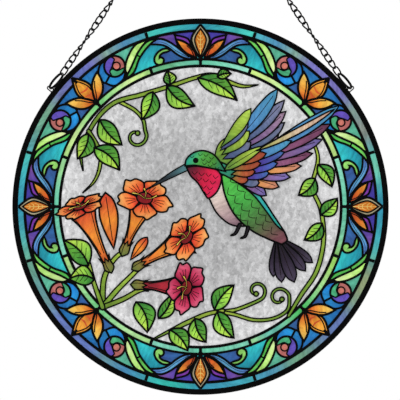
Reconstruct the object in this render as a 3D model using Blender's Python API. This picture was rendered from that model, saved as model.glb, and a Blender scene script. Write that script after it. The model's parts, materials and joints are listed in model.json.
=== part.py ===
"""A round stained glass suncatcher: a framed disc with raised line work, on two split rings and a chain.

The origin is the point that the chain hangs from. X runs to the right, Y to the back, Z up.
"""
import math

import bmesh
import bpy
import numpy as np
from mathutils import Matrix, Vector
from mathutils.geometry import delaunay_2d_cdt

# Panel sizes, in metres
PANEL_DIAMETER = 0.300
PANEL_DROP = 0.265
RIM_DEPTH = 0.006
RIM_FACE = 0.0043
RIM_WEB = 0.002
GLASS_THICKNESS = 0.003
FIT_GAP = 0.0003
LEAD_HEIGHT = 0.0009

# Rings of the border, as distances from the rim's inner edge
OUTER_BARS_END = 0.0045
OUTER_LINE_END = 0.0065
BAND_END = 0.0274
INNER_LINE_START_WIDTH = 0.0016
INNER_BARS_WIDTH = 0.0040
PICTURE_LINE_WIDTH = 0.0011

# Widths of the raised lines
BORDER_LINE = 0.0017
BAR_LINE = 0.0022
PICTURE_LINE = 0.0014
FINE_LINE = 0.0012
CURVE_ERROR = 0.0006
SMALLEST_CELL = 4.0e-6

# Hanging parts
WIRE = 0.0013
LINK_LENGTH = 0.0085
LINK_WIDTH = 0.0056
LINK_FUSE = 0.0002
LINK_TWIST = math.radians(45)
TWIST_PER_LINK = math.radians(27)
SPLIT_RING_RADIUS = 0.0084
SPLIT_RING_WIRE = 0.0010
SPLIT_RING_STAND = 0.0027
SPLIT_RING_ANGLE = math.radians(48.9)
SPLIT_RING_TILT = math.radians(72)
EYE_WIRE = 0.0009
EYE_HOLE = 0.0018
EYE_LIFT = 0.0009

ROUND_STEPS = 64
LINE_STEPS = 40

# Worked out from the sizes above
RIM_OUT = PANEL_DIAMETER / 2
RIM_IN = RIM_OUT - RIM_FACE
DISC_RADIUS = RIM_OUT - RIM_WEB - FIT_GAP
BARS_IN = RIM_IN - OUTER_BARS_END
BAND_OUT = RIM_IN - OUTER_LINE_END
BAND_IN = RIM_IN - BAND_END
INNER_BARS_OUT = BAND_IN - INNER_LINE_START_WIDTH
INNER_BARS_IN = INNER_BARS_OUT - INNER_BARS_WIDTH
PICTURE_RADIUS = INNER_BARS_IN - PICTURE_LINE_WIDTH
GLASS_FRONT = -GLASS_THICKNESS / 2
LEAD_BACK = GLASS_FRONT - FIT_GAP
LEAD_FRONT = LEAD_BACK - LEAD_HEIGHT


def clear_scene():
    for obj in list(bpy.data.objects):
        bpy.data.objects.remove(obj, do_unlink=True)


def material(name, colour, metallic, roughness, transmission=0.0):
    made = bpy.data.materials.new(name)
    made.use_nodes = True
    shader = made.node_tree.nodes["Principled BSDF"]
    shader.inputs["Base Color"].default_value = (*colour, 1.0)
    shader.inputs["Metallic"].default_value = metallic
    shader.inputs["Roughness"].default_value = roughness
    shader.inputs["Transmission Weight"].default_value = transmission
    return made


def finished(name, bm, finish, smooth_below=0.0):
    """Turns the bmesh into an object; corners flatter than the given angle are shaded smooth."""
    bmesh.ops.recalc_face_normals(bm, faces=bm.faces)
    mesh = bpy.data.meshes.new(name)
    bm.to_mesh(mesh)
    bm.free()
    if smooth_below:
        mesh.shade_smooth()
        mesh.set_sharp_from_angle(angle=math.radians(smooth_below))
    mesh.materials.append(finish)
    made = bpy.data.objects.new(name, mesh)
    bpy.context.scene.collection.objects.link(made)
    return made


def spun_ring(name, section, centre, axis, steps, finish, smooth_below):
    """A closed section turned once round an axis."""
    bm = bmesh.new()
    corners = [bm.verts.new(p) for p in section]
    edges = [bm.edges.new((corners[k - 1], corners[k])) for k in range(len(corners))]
    bmesh.ops.spin(bm, geom=corners + edges, cent=centre, axis=axis, angle=2 * math.pi, steps=steps,
                   use_merge=True)
    bmesh.ops.remove_doubles(bm, verts=bm.verts, dist=1e-6)
    return finished(name, bm, finish, smooth_below)


def bent_wire(bm, path, section, ups):
    """Section of (side, up) points carried round a closed path; ups holds the up direction at each point."""
    first = len(bm.faces)
    rings = []
    total = len(path)
    for i in range(total):
        to_next = path[(i + 1) % total] - path[i]
        from_last = path[i] - path[i - 1]
        to_next = to_next / np.linalg.norm(to_next)
        from_last = from_last / np.linalg.norm(from_last)
        ahead = to_next + from_last
        slant = np.linalg.norm(ahead) / 2
        ahead = ahead / np.linalg.norm(ahead)
        inward = to_next - from_last
        inward = inward / max(np.linalg.norm(inward), 1e-9)
        up = ups[i] - ahead * np.dot(ups[i], ahead)
        up = up / np.linalg.norm(up)
        side = np.cross(ahead, up)
        ring = []
        for s, u in section:
            away = side * s + up * u
            spot = path[i] + away + inward * np.dot(away, inward) * (1 / slant - 1)
            ring.append(bm.verts.new(spot))
        rings.append(ring)
    for i in range(total):
        here = rings[i]
        after = rings[(i + 1) % total]
        for k in range(len(section)):
            bm.faces.new((here[k - 1], here[k], after[k], after[k - 1]))
    bm.faces.ensure_lookup_table()
    bmesh.ops.recalc_face_normals(bm, faces=bm.faces[first:])


# Curves of the drawing, in panel coordinates: x to the right, z up, from the panel's centre
def curve(points, steps=2, closed=False):
    """A smooth curve through the points."""
    p = [np.array(q, float) for q in points]
    n = len(p)
    out = []
    for i in range(n if closed else n - 1):
        if closed:
            a, b, c, d = p[i - 1], p[i], p[(i + 1) % n], p[(i + 2) % n]
        else:
            a, b, c, d = p[max(i - 1, 0)], p[i], p[i + 1], p[min(i + 2, n - 1)]
        for k in range(steps):
            t = k / steps
            bend = (c - a) * t + (2 * a - 5 * b + 4 * c - d) * t * t
            out.append(0.5 * (2 * b + bend + (3 * b - a - 3 * c + d) * t ** 3))
    if not closed:
        out.append(p[-1])
    return np.array(out)


def outline(*arcs):
    """One closed outline from curves that meet in corners."""
    out = []
    for arc in arcs:
        for point in curve(arc):
            if not out or np.linalg.norm(point - out[-1]) > 1e-6:
                out.append(point)
    if np.linalg.norm(out[0] - out[-1]) < 1e-6:
        out.pop()
    return np.array(out)


def ring_points(centre, radius, steps):
    turn = np.linspace(0, 2 * math.pi, steps, endpoint=False)
    return np.c_[centre[0] + radius * np.sin(turn), centre[1] + radius * np.cos(turn)]


class Drawing:
    """Panes and lines in painting order: a pane hides the lines under it, and every line is raised."""

    def __init__(self):
        self.shapes = []

    def pane(self, points, width):
        self.shapes.append((np.array(points, float), width / 2, True, True))

    def loop(self, points, width):
        self.shapes.append((np.array(points, float), width / 2, True, False))

    def line(self, points, width):
        self.shapes.append((np.array(points, float), width / 2, False, False))


def border(drawing):
    """The traditional ornament: palmettes on the axes, lotus buds on the diagonals."""

    def place(sector, side):
        def at(angle, share):
            turn = math.radians(90 * sector + side * angle)
            radius = BAND_IN + share * (BAND_OUT - BAND_IN)
            return radius * math.sin(turn), radius * math.cos(turn)
        return at

    def bar(angle, inner, outer):
        turn = math.radians(angle)
        way = np.array([math.sin(turn), math.cos(turn)])
        drawing.line([way * inner, way * outer], BAR_LINE)

    for radius, width in (((BARS_IN + BAND_OUT) / 2, BARS_IN - BAND_OUT),
                          ((BAND_IN + INNER_BARS_OUT) / 2, BAND_IN - INNER_BARS_OUT),
                          ((INNER_BARS_IN + PICTURE_RADIUS) / 2, PICTURE_LINE_WIDTH)):
        drawing.loop(ring_points((0, 0), radius, LINE_STEPS), width)
    outer_start = (BARS_IN + BAND_OUT) / 2
    outer_end = RIM_IN
    inner_start = (INNER_BARS_IN + PICTURE_RADIUS) / 2
    inner_end = (BAND_IN + INNER_BARS_OUT) / 2
    for sector in range(4):
        for side in (1, -1):
            at = place(sector, side)

            def run(*pairs):
                return [at(*pair) for pair in pairs]

            bar(90 * sector + side * 17.5, outer_start, outer_end)
            bar(90 * sector + side * 20, inner_start, inner_end)
            # Two edges of the ribbon that rises from the palmette
            drawing.line(curve(run((2, 0), (6.7, .31), (9.5, .62), (13.2, .91), (18.3, .86))), BORDER_LINE)
            drawing.line(curve(run((4, 0), (8.8, .2), (12, .58), (15.2, .76), (18.3, .84))), BORDER_LINE)
            # Small curl under the ribbon
            drawing.line(curve(run((10.6, .44), (14, .45), (16.6, .26), (16.2, .02))), BORDER_LINE * 1.3)
            # Two edges of the long leaf
            drawing.line(curve(run((16.8, .92), (20.7, .62), (24.3, .25), (30, 0))), BORDER_LINE)
            drawing.line(curve(run((19.5, 1.03), (25.2, .75), (28.4, .45), (29, .1))), BORDER_LINE)
            # Spiral, and the swirl round it
            radius = 0.4 * (BAND_OUT - BAND_IN)
            drawing.loop(ring_points(at(31.5, .615), radius, 9), BORDER_LINE)
            drawing.line(curve(run((33.4, 1.0), (37.2, .8), (37.9, .35), (35, 0))), BORDER_LINE)
            # Petals beside the palmette, and beside the lotus bud
            drawing.pane(outline(run((1.4, .02), (3.6, .46), (8.3, .79)), run((8.3, .79), (6.6, .36), (1.4, .02))),
                         BORDER_LINE)
            drawing.pane(outline(run((37.5, .82), (38.7, .3), (44.8, -.05)),
                                 run((44.8, -.05), (42.4, .47), (37.5, .82))), BORDER_LINE)
        at = place(sector, 1)
        bar(90 * sector, inner_start, inner_end)
        bar(90 * sector + 45, inner_start, inner_end)
        for middle, half in ((0, 3.15), (45, 2.75)):
            rise = [at(middle, 1.27), at(middle + half * .7, .98), at(middle + half, .68), at(middle, -.02)]
            fall = [at(middle, -.02), at(middle - half, .68), at(middle - half * .7, .98), at(middle, 1.27)]
            drawing.pane(outline(rise, fall), BORDER_LINE)


def blade(root, tip, wide, bend=0.0, fullest=0.45):
    """Outline of a leaf, petal or feather, from its root to its tip."""
    root = np.array(root, float)
    way = np.array(tip, float) - root
    across = np.array([-way[1], way[0]]) / np.linalg.norm(way)
    near = root + way * fullest * .45 + across * bend
    middle = root + way * fullest + across * bend
    far = root + way * (fullest + 1) / 2 + across * bend * .8
    left = [root, near + across * wide * .33, middle + across * wide / 2, far + across * wide * .33, root + way]
    right = [root + way, far - across * wide * .33, middle - across * wide / 2, near - across * wide * .33, root]
    return outline(left, right)


def picture(drawing):
    """A plain picture of a hovering bird, trumpet flowers and leaves; points are shares of its radius."""

    def at(*pairs):
        return [(x * PICTURE_RADIUS, z * PICTURE_RADIUS) for x, z in pairs]

    def leaf(root, tip, wide, bend=0.0):
        start, end = at(root, tip)
        drawing.pane(blade(start, end, wide * PICTURE_RADIUS, bend * PICTURE_RADIUS), PICTURE_LINE)

    def stem(*pairs):
        drawing.line(curve(at(*pairs), 1), 0.020 * PICTURE_RADIUS)

    stem((-.66, -.75), (-.68, -.56), (-.60, -.36), (-.54, -.30))
    stem((-.66, -.75), (-.54, -.56), (-.44, -.44))
    stem((-.66, -.75), (-.52, -.63), (-.36, -.58))
    stem((-.66, -.75), (-.74, -.58), (-.79, -.46))
    stem((-.91, .42), (-.79, .58), (-.60, .75), (-.24, .86), (.08, .94), (.32, .94))
    stem((.70, -.72), (.86, -.34), (.86, -.04), (.81, .16), (.87, .49))
    stem((-.32, -.94), (-.10, -.84), (.20, -.74), (.42, -.62), (.56, -.60))
    for root, tip in (((-.80, .54), (-.86, .34)), ((-.72, .62), (-.55, .44)), ((-.34, .83), (-.42, .62)), ((-.24, .86), (-.04, .72)), ((-.02, .92), (.24, .76)),
                      ((.82, .20), (.70, .08)), ((.83, .28), (.95, .18)), ((.87, -.08), (.74, -.24)),
                      ((-.77, -.50), (-.97, -.28)), ((-.50, -.63), (-.42, -.88)),
                      ((-.06, -.81), (.03, -.97)), ((.12, -.76), (.26, -.92)), ((.10, -.77), (.24, -.56))):
        leaf(root, tip, .13)
    # Flowers: a tube and a five-lobed mouth
    for root, mouth, size in (((-.66, -.42), (-.86, .0), .16), ((-.54, -.30), (-.40, .06), .18),
                              ((-.44, -.42), (-.10, -.22), .17), ((-.44, -.56), (-.10, -.58), .17)):
        start, end = at(root, mouth)
        drawing.pane(blade(start, end, size * PICTURE_RADIUS * 1.1, 0, .9), PICTURE_LINE)
        lobes = []
        for i in range(10):
            turn = 2 * math.pi * i / 10
            reach = size * PICTURE_RADIUS * (1.08 if i % 2 else .72)
            lobes.append((end[0] + reach * math.sin(turn), end[1] + reach * .8 * math.cos(turn)))
        drawing.pane(lobes, PICTURE_LINE)
        drawing.line(curve([start, end, lobes[0]]), FINE_LINE)
    leaf((-.61, -.32), (-.67, .10), .12)
    # Bird: rear wing, tail, body, head, then the front wing
    for tip, wide in (((.50, .46), .13), ((.60, .62), .14), ((.55, .84), .14)):
        leaf((.18, .36), tip, wide, -.02)
    for tip in ((.54, -.50), (.79, -.41), (.67, -.54)):
        leaf((.54, -.20), tip, .10)
    drawing.pane(outline(at((.04, .14), (.14, -.06), (.34, -.14), (.58, -.27)),
                         at((.58, -.27), (.60, -.18), (.44, .06), (.14, .31)), at((.14, .31), (.04, .14))),
                 PICTURE_LINE)
    drawing.line(curve(at((.13, .25), (.20, .03), (.36, -.13))), FINE_LINE)
    drawing.pane(outline(at((-.40, .11), (-.22, .24), (-.10, .31)), at((-.10, .31), (-.09, .26)),
                         at((-.09, .26), (-.24, .19), (-.40, .11))), FINE_LINE)
    drawing.pane(outline(at((-.11, .29), (-.05, .385), (.04, .39), (.14, .32), (.15, .2), (.06, .06)),
                         at((.06, .06), (-.02, .17), (-.11, .29))), PICTURE_LINE)
    drawing.line(at((-.11, .29), (.15, .25)), FINE_LINE)
    for i, (tip, wide) in enumerate((((.47, .08), .11), ((.64, .21), .13), ((.80, .38), .13), ((.90, .54), .13),
                                     ((.99, .72), .12))):
        leaf((.22 + .03 * i, .20 + .035 * i), tip, wide, .01)
    leaf((.22, .22), (.50, .34), .13)
    # Branches join leaves and flowers to the stems, so that nothing stands free
    drawing.line(at((.28, -.13), (.27, -.20)), PICTURE_LINE * 1.4)


def beside(points, half, closed):
    """The two edges of a line."""
    ahead = np.roll(points, -1, axis=0) - points
    back = points - np.roll(points, 1, axis=0)
    if not closed:
        ahead[-1] = back[-1]
        back[0] = ahead[0]
    ahead = ahead / np.maximum(np.linalg.norm(ahead, axis=1), 1e-12)[:, None]
    back = back / np.maximum(np.linalg.norm(back, axis=1), 1e-12)[:, None]
    way = ahead + back
    length = np.linalg.norm(way, axis=1)
    way = np.where(length[:, None] > 1e-6, way / np.maximum(length, 1e-6)[:, None], ahead)
    out = np.c_[-way[:, 1], way[:, 0]]
    lean = np.clip(np.sum(way * ahead, axis=1), 0.55, 1.0)
    reach = half / lean
    return points + out * reach[:, None], points - out * reach[:, None]


def edge_list(shape):
    """Polylines that bound one line of the drawing."""
    points, half, closed, _ = shape
    left, right = beside(points, half, closed)
    if closed:
        return [(left, True), (right, True)]
    return [(np.r_[left, right[::-1]], True)]


def distance(spots, points, closed):
    starts = points if closed else points[:-1]
    ends = np.roll(points, -1, axis=0) if closed else points[1:]
    best = np.full(len(spots), 1e9)
    for a, b in zip(starts, ends):
        along = b - a
        share = np.clip((spots - a) @ along / max(along @ along, 1e-18), 0, 1)
        best = np.minimum(best, np.linalg.norm(spots - a - share[:, None] * along, axis=1))
    return best


def inside(spots, points):
    crossed = np.zeros(len(spots), bool)
    for a, b in zip(points, np.roll(points, -1, axis=0)):
        cuts = (a[1] > spots[:, 1]) != (b[1] > spots[:, 1])
        rise = b[1] - a[1] if b[1] != a[1] else 1e-18
        crossed ^= cuts & (spots[:, 0] < (b[0] - a[0]) * (spots[:, 1] - a[1]) / rise + a[0])
    return crossed


def on_lines(spots, shapes):
    """Whether a raised line is on top at each spot."""
    raised = np.zeros(len(spots), bool)
    for points, half, closed, pane in shapes:
        low = points.min(axis=0) - half * 2
        high = points.max(axis=0) + half * 2
        near = np.flatnonzero(((spots > low) & (spots < high)).all(axis=1))
        if not len(near):
            continue
        here = spots[near]
        if pane:
            raised[near[inside(here, points)]] = False
        raised[near[distance(here, points, closed) < half]] = True
    return raised


def triangulate(loops, close_by):
    """Flat triangles between the loops."""
    points = []
    edges = []
    for loop in loops:
        first = len(points)
        points.extend(Vector(p) for p in loop)
        edges.extend((first + i, first + (i + 1) % len(loop)) for i in range(len(loop)))
    made = delaunay_2d_cdt(points, edges, [], 0, close_by, False)
    return np.array([tuple(p) for p in made[0]]), np.array([tuple(f) for f in made[2]])


def border_loops(faces):
    """Loops of the edges that only one triangle uses, with the region on their left."""
    used = set()
    for a, b, c in faces:
        used.update(((a, b), (b, c), (c, a)))
    after = {}
    for a, b in used:
        if (b, a) not in used:
            after.setdefault(a, []).append(b)
    loops = []
    while after:
        start = next(iter(after))
        loop = [start]
        here = start
        while True:
            nxt = after[here].pop()
            if not after[here]:
                del after[here]
            if nxt == start:
                break
            loop.append(nxt)
            here = nxt
        loops.append(loop)
    return loops


def thin_out(loop, allowed):
    """Drops the points of a closed loop that its neighbours' chord passes within the allowed distance."""
    points = np.array(loop)
    far = int(np.argmax(np.linalg.norm(points - points[0], axis=1)))
    keep = {0, far}
    todo = [(0, far), (far, len(points))]
    while todo:
        a, b = todo.pop()
        if b - a < 2:
            continue
        start = points[a]
        end = points[b % len(points)]
        away = distance(points[a + 1:b], np.array([start, end]), False)
        worst = int(np.argmax(away))
        if away[worst] > allowed:
            keep.add(a + 1 + worst)
            todo += [(a, a + 1 + worst), (a + 1 + worst, b)]
    return points[sorted(keep)]


def main_piece(faces):
    """The largest set of triangles that share edges."""
    by_edge = {}
    for i, (a, b, c) in enumerate(faces):
        for edge in ((a, b), (b, c), (c, a)):
            by_edge.setdefault(frozenset(edge), []).append(i)
    group = np.full(len(faces), -1)
    sizes = []
    for first in range(len(faces)):
        if group[first] >= 0:
            continue
        group[first] = len(sizes)
        todo = [first]
        count = 0
        while todo:
            here = todo.pop()
            count += 1
            a, b, c = faces[here]
            for edge in ((a, b), (b, c), (c, a)):
                for other in by_edge[frozenset(edge)]:
                    if group[other] < 0:
                        group[other] = group[first]
                        todo.append(other)
        sizes.append(count)
    return faces[group == int(np.argmax(sizes))]


def split_pinches(points, faces):
    """Drops triangles until no two parts of the net meet in a bare point."""
    while True:
        loops = border_loops(faces)
        seen = {}
        for loop in loops:
            for v in loop:
                seen[v] = seen.get(v, 0) + 1
        pinched = {v for v, times in seen.items() if times > 1}
        if not pinched:
            return faces
        areas = {}
        for i, face in enumerate(faces):
            for v in face:
                if v in pinched:
                    a, b, c = points[face]
                    size = abs(np.cross(b - a, c - a))
                    if v not in areas or size < areas[v][0]:
                        areas[v] = (size, i)
        dropped = {i for _, i in areas.values()}
        faces = main_piece(np.array([f for i, f in enumerate(faces) if i not in dropped]))


def lead_net(drawing, finish):
    """Every raised line joined into one net, its loops thinned out and then given their height."""
    scale = 1000.0
    shapes = [(points * scale, half * scale, closed, pane) for points, half, closed, pane in drawing.shapes]
    lines = [loop for shape in shapes for loop, _ in edge_list(shape)]
    limit = ring_points((0, 0), (RIM_IN - FIT_GAP) * scale, ROUND_STEPS)
    points, faces = triangulate(lines + [limit], 1e-4)
    spots = points[faces].mean(axis=1)
    raised = on_lines(spots, shapes) & inside(spots, limit)
    faces = main_piece(faces[raised])
    faces = split_pinches(points, faces)
    loops = [thin_out(points[loop], CURVE_ERROR * scale) for loop in border_loops(faces)]
    areas = [abs(np.sum(np.cross(loop, np.roll(loop, -1, axis=0)))) / 2 for loop in loops]
    loops = [loop for loop, area in zip(loops, areas) if len(loop) > 2 and area > SMALLEST_CELL * scale * scale]
    points, faces = triangulate(loops, 1e-5)
    spots = points[faces].mean(axis=1)
    cover = np.zeros(len(spots), bool)
    for loop in loops:
        cover ^= inside(spots, loop)
    faces = split_pinches(points, main_piece(faces[cover]))
    bm = bmesh.new()
    spots = {v: bm.verts.new((points[v][0] / scale, LEAD_BACK, points[v][1] / scale - PANEL_DROP))
             for v in np.unique(faces)}
    net = [bm.faces.new([spots[v] for v in face]) for face in faces]
    raised = bmesh.ops.extrude_face_region(bm, geom=net, use_keep_orig=True)
    lifted = [item for item in raised["geom"] if isinstance(item, bmesh.types.BMVert)]
    bmesh.ops.translate(bm, verts=lifted, vec=(0.0, -LEAD_HEIGHT, 0.0))
    return finished("leading", bm, finish)


def glass_disc(finish):
    bm = bmesh.new()
    place = Matrix.Translation((0.0, 0.0, -PANEL_DROP)) @ Matrix.Rotation(math.radians(90), 4, "X")
    bmesh.ops.create_cone(bm, cap_ends=True, segments=ROUND_STEPS, radius1=DISC_RADIUS, radius2=DISC_RADIUS,
                          depth=GLASS_THICKNESS, matrix=place)
    return finished("glass_disc", bm, finish, 30)


def rim_frame(finish):
    """A channel whose two lips hold the glass."""
    front = -RIM_DEPTH / 2
    lip = GLASS_FRONT - FIT_GAP
    web = RIM_OUT - RIM_WEB
    profile = [(RIM_OUT, front), (RIM_OUT, -front), (RIM_IN, -front), (RIM_IN, -lip), (web, -lip), (web, lip),
               (RIM_IN, lip), (RIM_IN, front)]
    section = [(0.0, depth, radius - PANEL_DROP) for radius, depth in profile]
    return spun_ring("rim_frame", section, (0.0, 0.0, -PANEL_DROP), (0.0, 1.0, 0.0), ROUND_STEPS, finish, 30)


def ring_frame(side):
    """Centre of a split ring, and its outward, rimwise and axis directions."""
    out = np.array([side * math.sin(SPLIT_RING_ANGLE), 0.0, math.cos(SPLIT_RING_ANGLE)])
    along = np.array([-side * math.cos(SPLIT_RING_ANGLE), 0.0, math.sin(SPLIT_RING_ANGLE)])
    centre = out * (RIM_OUT + SPLIT_RING_STAND) + np.array([0.0, 0.0, -PANEL_DROP])
    back = np.array([0.0, 1.0, 0.0])
    rear = back * math.sin(SPLIT_RING_TILT) + out * math.cos(SPLIT_RING_TILT)
    return centre, out, along, rear


def split_ring(name, side, finish):
    """Two touching turns of wire, made as one ring with a waist between them."""
    centre, out, along, rear = ring_frame(side)
    axis = np.cross(along, rear)
    radius = SPLIT_RING_RADIUS - SPLIT_RING_WIRE / 2
    half = SPLIT_RING_WIRE / 2
    profile = [(-half * .6, -half * 2), (half * .6, -half * 2), (half, -half), (half * .5, 0), (half, half),
               (half * .6, half * 2), (-half * .6, half * 2), (-half, half), (-half * .5, 0), (-half, -half)]
    section = [centre + along * (radius + r) + axis * a for r, a in profile]
    return spun_ring(name, section, centre, axis, 24, finish, 60)


def hanging_eye(name, side, finish):
    """A wire staple on the rim's edge, through which the split ring passes."""
    centre, out, along, rear = ring_frame(side)
    middle = np.array([0.0, 0.0, -PANEL_DROP])
    hole_from_centre = SPLIT_RING_RADIUS - SPLIT_RING_WIRE - FIT_GAP + EYE_HOLE / 2
    up = centre - along * hole_from_centre - middle
    up = up / np.linalg.norm(up)
    across = np.cross(np.array([0.0, 1.0, 0.0]), up)
    foot = RIM_OUT + FIT_GAP
    bend = RIM_OUT + SPLIT_RING_STAND + EYE_LIFT
    reach = EYE_HOLE / 2 + EYE_WIRE / 2
    bm = bmesh.new()
    hexagon = bmesh.ops.create_circle(bm, cap_ends=True, segments=6, radius=EYE_WIRE / 2)
    to_foot = Matrix((across, (0.0, -1.0, 0.0), up)).transposed().to_4x4()
    to_foot.translation = middle + up * foot + across * reach
    bmesh.ops.transform(bm, matrix=to_foot, verts=hexagon["verts"])
    leg = bmesh.ops.extrude_face_region(bm, geom=list(bm.faces), use_keep_orig=True)
    bmesh.ops.translate(bm, verts=[v for v in leg["geom"] if isinstance(v, bmesh.types.BMVert)],
                        vec=Vector(up * (bend - foot)))
    tip = [f for f in leg["geom"] if isinstance(f, bmesh.types.BMFace)]
    arch = bmesh.ops.spin(bm, geom=tip, cent=middle + up * bend, axis=(0.0, -1.0, 0.0), angle=math.pi, steps=6)
    tip = [f for f in arch["geom_last"] if isinstance(f, bmesh.types.BMFace)]
    leg = bmesh.ops.extrude_face_region(bm, geom=tip)
    bmesh.ops.translate(bm, verts=[v for v in leg["geom"] if isinstance(v, bmesh.types.BMVert)],
                        vec=Vector(up * (foot - bend)))
    walls_within = [f for f in bm.faces if all(len(e.link_faces) > 2 for e in f.edges)]
    bmesh.ops.delete(bm, geom=walls_within, context="FACES_ONLY")
    return finished(name, bm, finish, 65)


def link(bm, centre, ahead, face, length, twist, blunt=0.78):
    """One oval link: its long side runs ahead, and face is square to it. Its ends turn by the twist."""
    side = np.cross(face, ahead)
    end = length / 2 - WIRE / 2
    wide = LINK_WIDTH / 2 - WIRE / 2
    path = []
    ups = []
    for x, y in ((1, blunt), (0, 1), (-1, blunt), (-1, -blunt), (0, -1), (1, -blunt)):
        turn = twist * x
        over = side * math.cos(turn) + face * math.sin(turn)
        path.append(centre + ahead * x * end + over * y * wide)
        ups.append(np.cross(ahead, over))
    half = WIRE / 2
    bent_wire(bm, path, [(half, 0), (0, half), (-half, 0), (0, -half)], ups)


def run_of_links(side, middle):
    """The links from a split ring up to the middle link, the top one first."""
    pitch = LINK_LENGTH - 2 * WIRE + LINK_FUSE
    centre, out, along, rear = ring_frame(side)
    low = centre + along * (SPLIT_RING_RADIUS - SPLIT_RING_WIRE - FIT_GAP - WIRE / 2)
    reach = LINK_LENGTH / 2 - WIRE - WIRE / 2 + LINK_FUSE
    high = middle + np.array([side * reach, 0.0, 0.0])
    way = high - low
    span = np.linalg.norm(way)
    way = way / span
    count = round((span - LINK_LENGTH + WIRE) / pitch) + 1
    step = (span - (LINK_LENGTH - WIRE)) / (count - 1)
    length = LINK_LENGTH + step - pitch
    base = np.array([0.0, 1.0, 0.0])
    other = np.cross(way, base)
    held = rear - way * np.dot(rear, way)
    start = math.atan2(np.dot(held, other), np.dot(held, base)) - LINK_TWIST
    half_turns = round((start + TWIST_PER_LINK * (count - 1) + LINK_TWIST - math.pi / 2) / math.pi)
    turn_each = (math.pi / 2 + half_turns * math.pi - LINK_TWIST - start) / (count - 1)
    made = []
    for i in range(count):
        spot = low + way * ((length - WIRE) / 2 + step * i)
        first = i == 0
        turn = start + (LINK_TWIST if first else turn_each * i)
        face = base * math.cos(turn) + other * math.sin(turn)
        made.append((spot, way, face, length, 0.0 if first else LINK_TWIST, 0.95 if first else 0.78))
    return made[::-1]


def chain(finish):
    """Two runs of curb links and the middle link that takes the hook, joined where they touch."""
    middle = np.array([0.0, 0.0, -(LINK_WIDTH / 2 - WIRE)])
    links = ([], [])
    links[0].append((middle, np.array([1.0, 0.0, 0.0]), np.array([0.0, 1.0, 0.0]), LINK_LENGTH, 0.0))
    for side in (1, -1):
        for i, made in enumerate(run_of_links(side, middle)):
            links[(i + 1) % 2].append(made)
    parts = []
    for name, group in zip(("chain", "chain_other_links"), links):
        bm = bmesh.new()
        for sizes in group:
            link(bm, *sizes)
        parts.append(finished(name, bm, finish, 30))
    whole, other = parts
    join = whole.modifiers.new("join", "BOOLEAN")
    join.operation = "UNION"
    join.solver = "EXACT"
    join.object = other
    other.hide_render = True
    return whole


def build():
    clear_scene()
    black = material("black_metal", (0.012, 0.012, 0.013), 0.6, 0.42)
    line = material("black_line", (0.006, 0.006, 0.007), 0.1, 0.35)
    clear = material("clear_glass", (0.80, 0.82, 0.84), 0.0, 0.12, 1.0)
    wire = material("dark_wire", (0.03, 0.03, 0.032), 0.9, 0.35)
    drawing = Drawing()
    border(drawing)
    picture(drawing)
    glass_disc(clear)
    rim_frame(black)
    lead_net(drawing, line)
    for name, side in (("left", -1), ("right", 1)):
        hanging_eye("hanging_eye_" + name, side, wire)
        split_ring("split_ring_" + name, side, wire)
    chain(wire)


build()
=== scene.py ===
# %% [markdown]
# # A round stained glass suncatcher
# The piece is a disc of textured clear glass, 300 mm across. See-through colours lie between raised
# black lines on its front, a black metal channel grips its edge, and a chain on two split rings
# holds it up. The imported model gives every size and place, and this lesson adds the looks.

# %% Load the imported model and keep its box
import json
import math

import bpy
import numpy as np
from mathutils import Matrix, Vector, kdtree
from mathutils.geometry import delaunay_2d_cdt

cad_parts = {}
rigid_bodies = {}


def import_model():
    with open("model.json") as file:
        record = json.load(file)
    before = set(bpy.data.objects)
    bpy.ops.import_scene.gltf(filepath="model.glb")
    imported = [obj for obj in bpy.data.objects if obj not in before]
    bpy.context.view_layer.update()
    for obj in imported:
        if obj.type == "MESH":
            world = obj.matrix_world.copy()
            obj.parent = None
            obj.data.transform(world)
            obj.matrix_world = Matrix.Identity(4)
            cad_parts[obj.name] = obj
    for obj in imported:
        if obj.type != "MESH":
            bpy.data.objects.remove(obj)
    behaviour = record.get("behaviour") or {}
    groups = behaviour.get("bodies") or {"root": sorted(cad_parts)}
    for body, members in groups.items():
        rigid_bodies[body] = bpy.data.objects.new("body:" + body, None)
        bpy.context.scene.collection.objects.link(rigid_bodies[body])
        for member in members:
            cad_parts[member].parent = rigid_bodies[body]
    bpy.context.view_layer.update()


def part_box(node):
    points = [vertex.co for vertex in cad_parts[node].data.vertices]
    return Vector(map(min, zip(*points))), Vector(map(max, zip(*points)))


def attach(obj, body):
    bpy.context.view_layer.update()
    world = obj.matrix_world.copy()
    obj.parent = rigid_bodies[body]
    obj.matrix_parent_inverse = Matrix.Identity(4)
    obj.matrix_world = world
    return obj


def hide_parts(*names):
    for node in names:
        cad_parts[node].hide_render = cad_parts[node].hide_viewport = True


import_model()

# %% [markdown]
# ## The places that everything shares
# The origin is the point that the hook touches, and the panel's centre hangs 265 mm below it. The
# drawing on the glass is made in millimetres from the panel's centre: x to the right, z up.

# %% Sizes
MM = 0.001
DROP = 0.265
RIM_OUT = 0.150
GLASS_FRONT = -0.0015
GLASS_BACK = 0.0015
R_GLASS = 147.7
R_OUTER_LINE = 140.2
R_BAND_OUT = 139.2
R_BAND_IN = 118.3
R_INNER_LINE = 117.5
R_INNER_BARS = 112.7
R_PICTURE = 111.6
R_BAR_TOP = 145.6


def on_panel(x, y, z):
    """World place of a point that is x and z millimetres from the panel's centre, and y metres deep."""
    return (x * MM, y, z * MM - DROP)


def at_clock(angle, radius):
    """Point on the panel at an angle in degrees, clockwise from the top."""
    turn = math.radians(angle)
    return (radius * math.sin(turn), radius * math.cos(turn))


# %% [markdown]
# ## Floor, light and camera
# The suncatcher hangs against white, so the light comes through the glass from behind. A bright world
# does that. It is a little darker on the viewer's side, as in a studio, so that the black metal and
# the glass don't mirror pure white. Two soft lamps give the raised lines their thin highlights.

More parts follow.
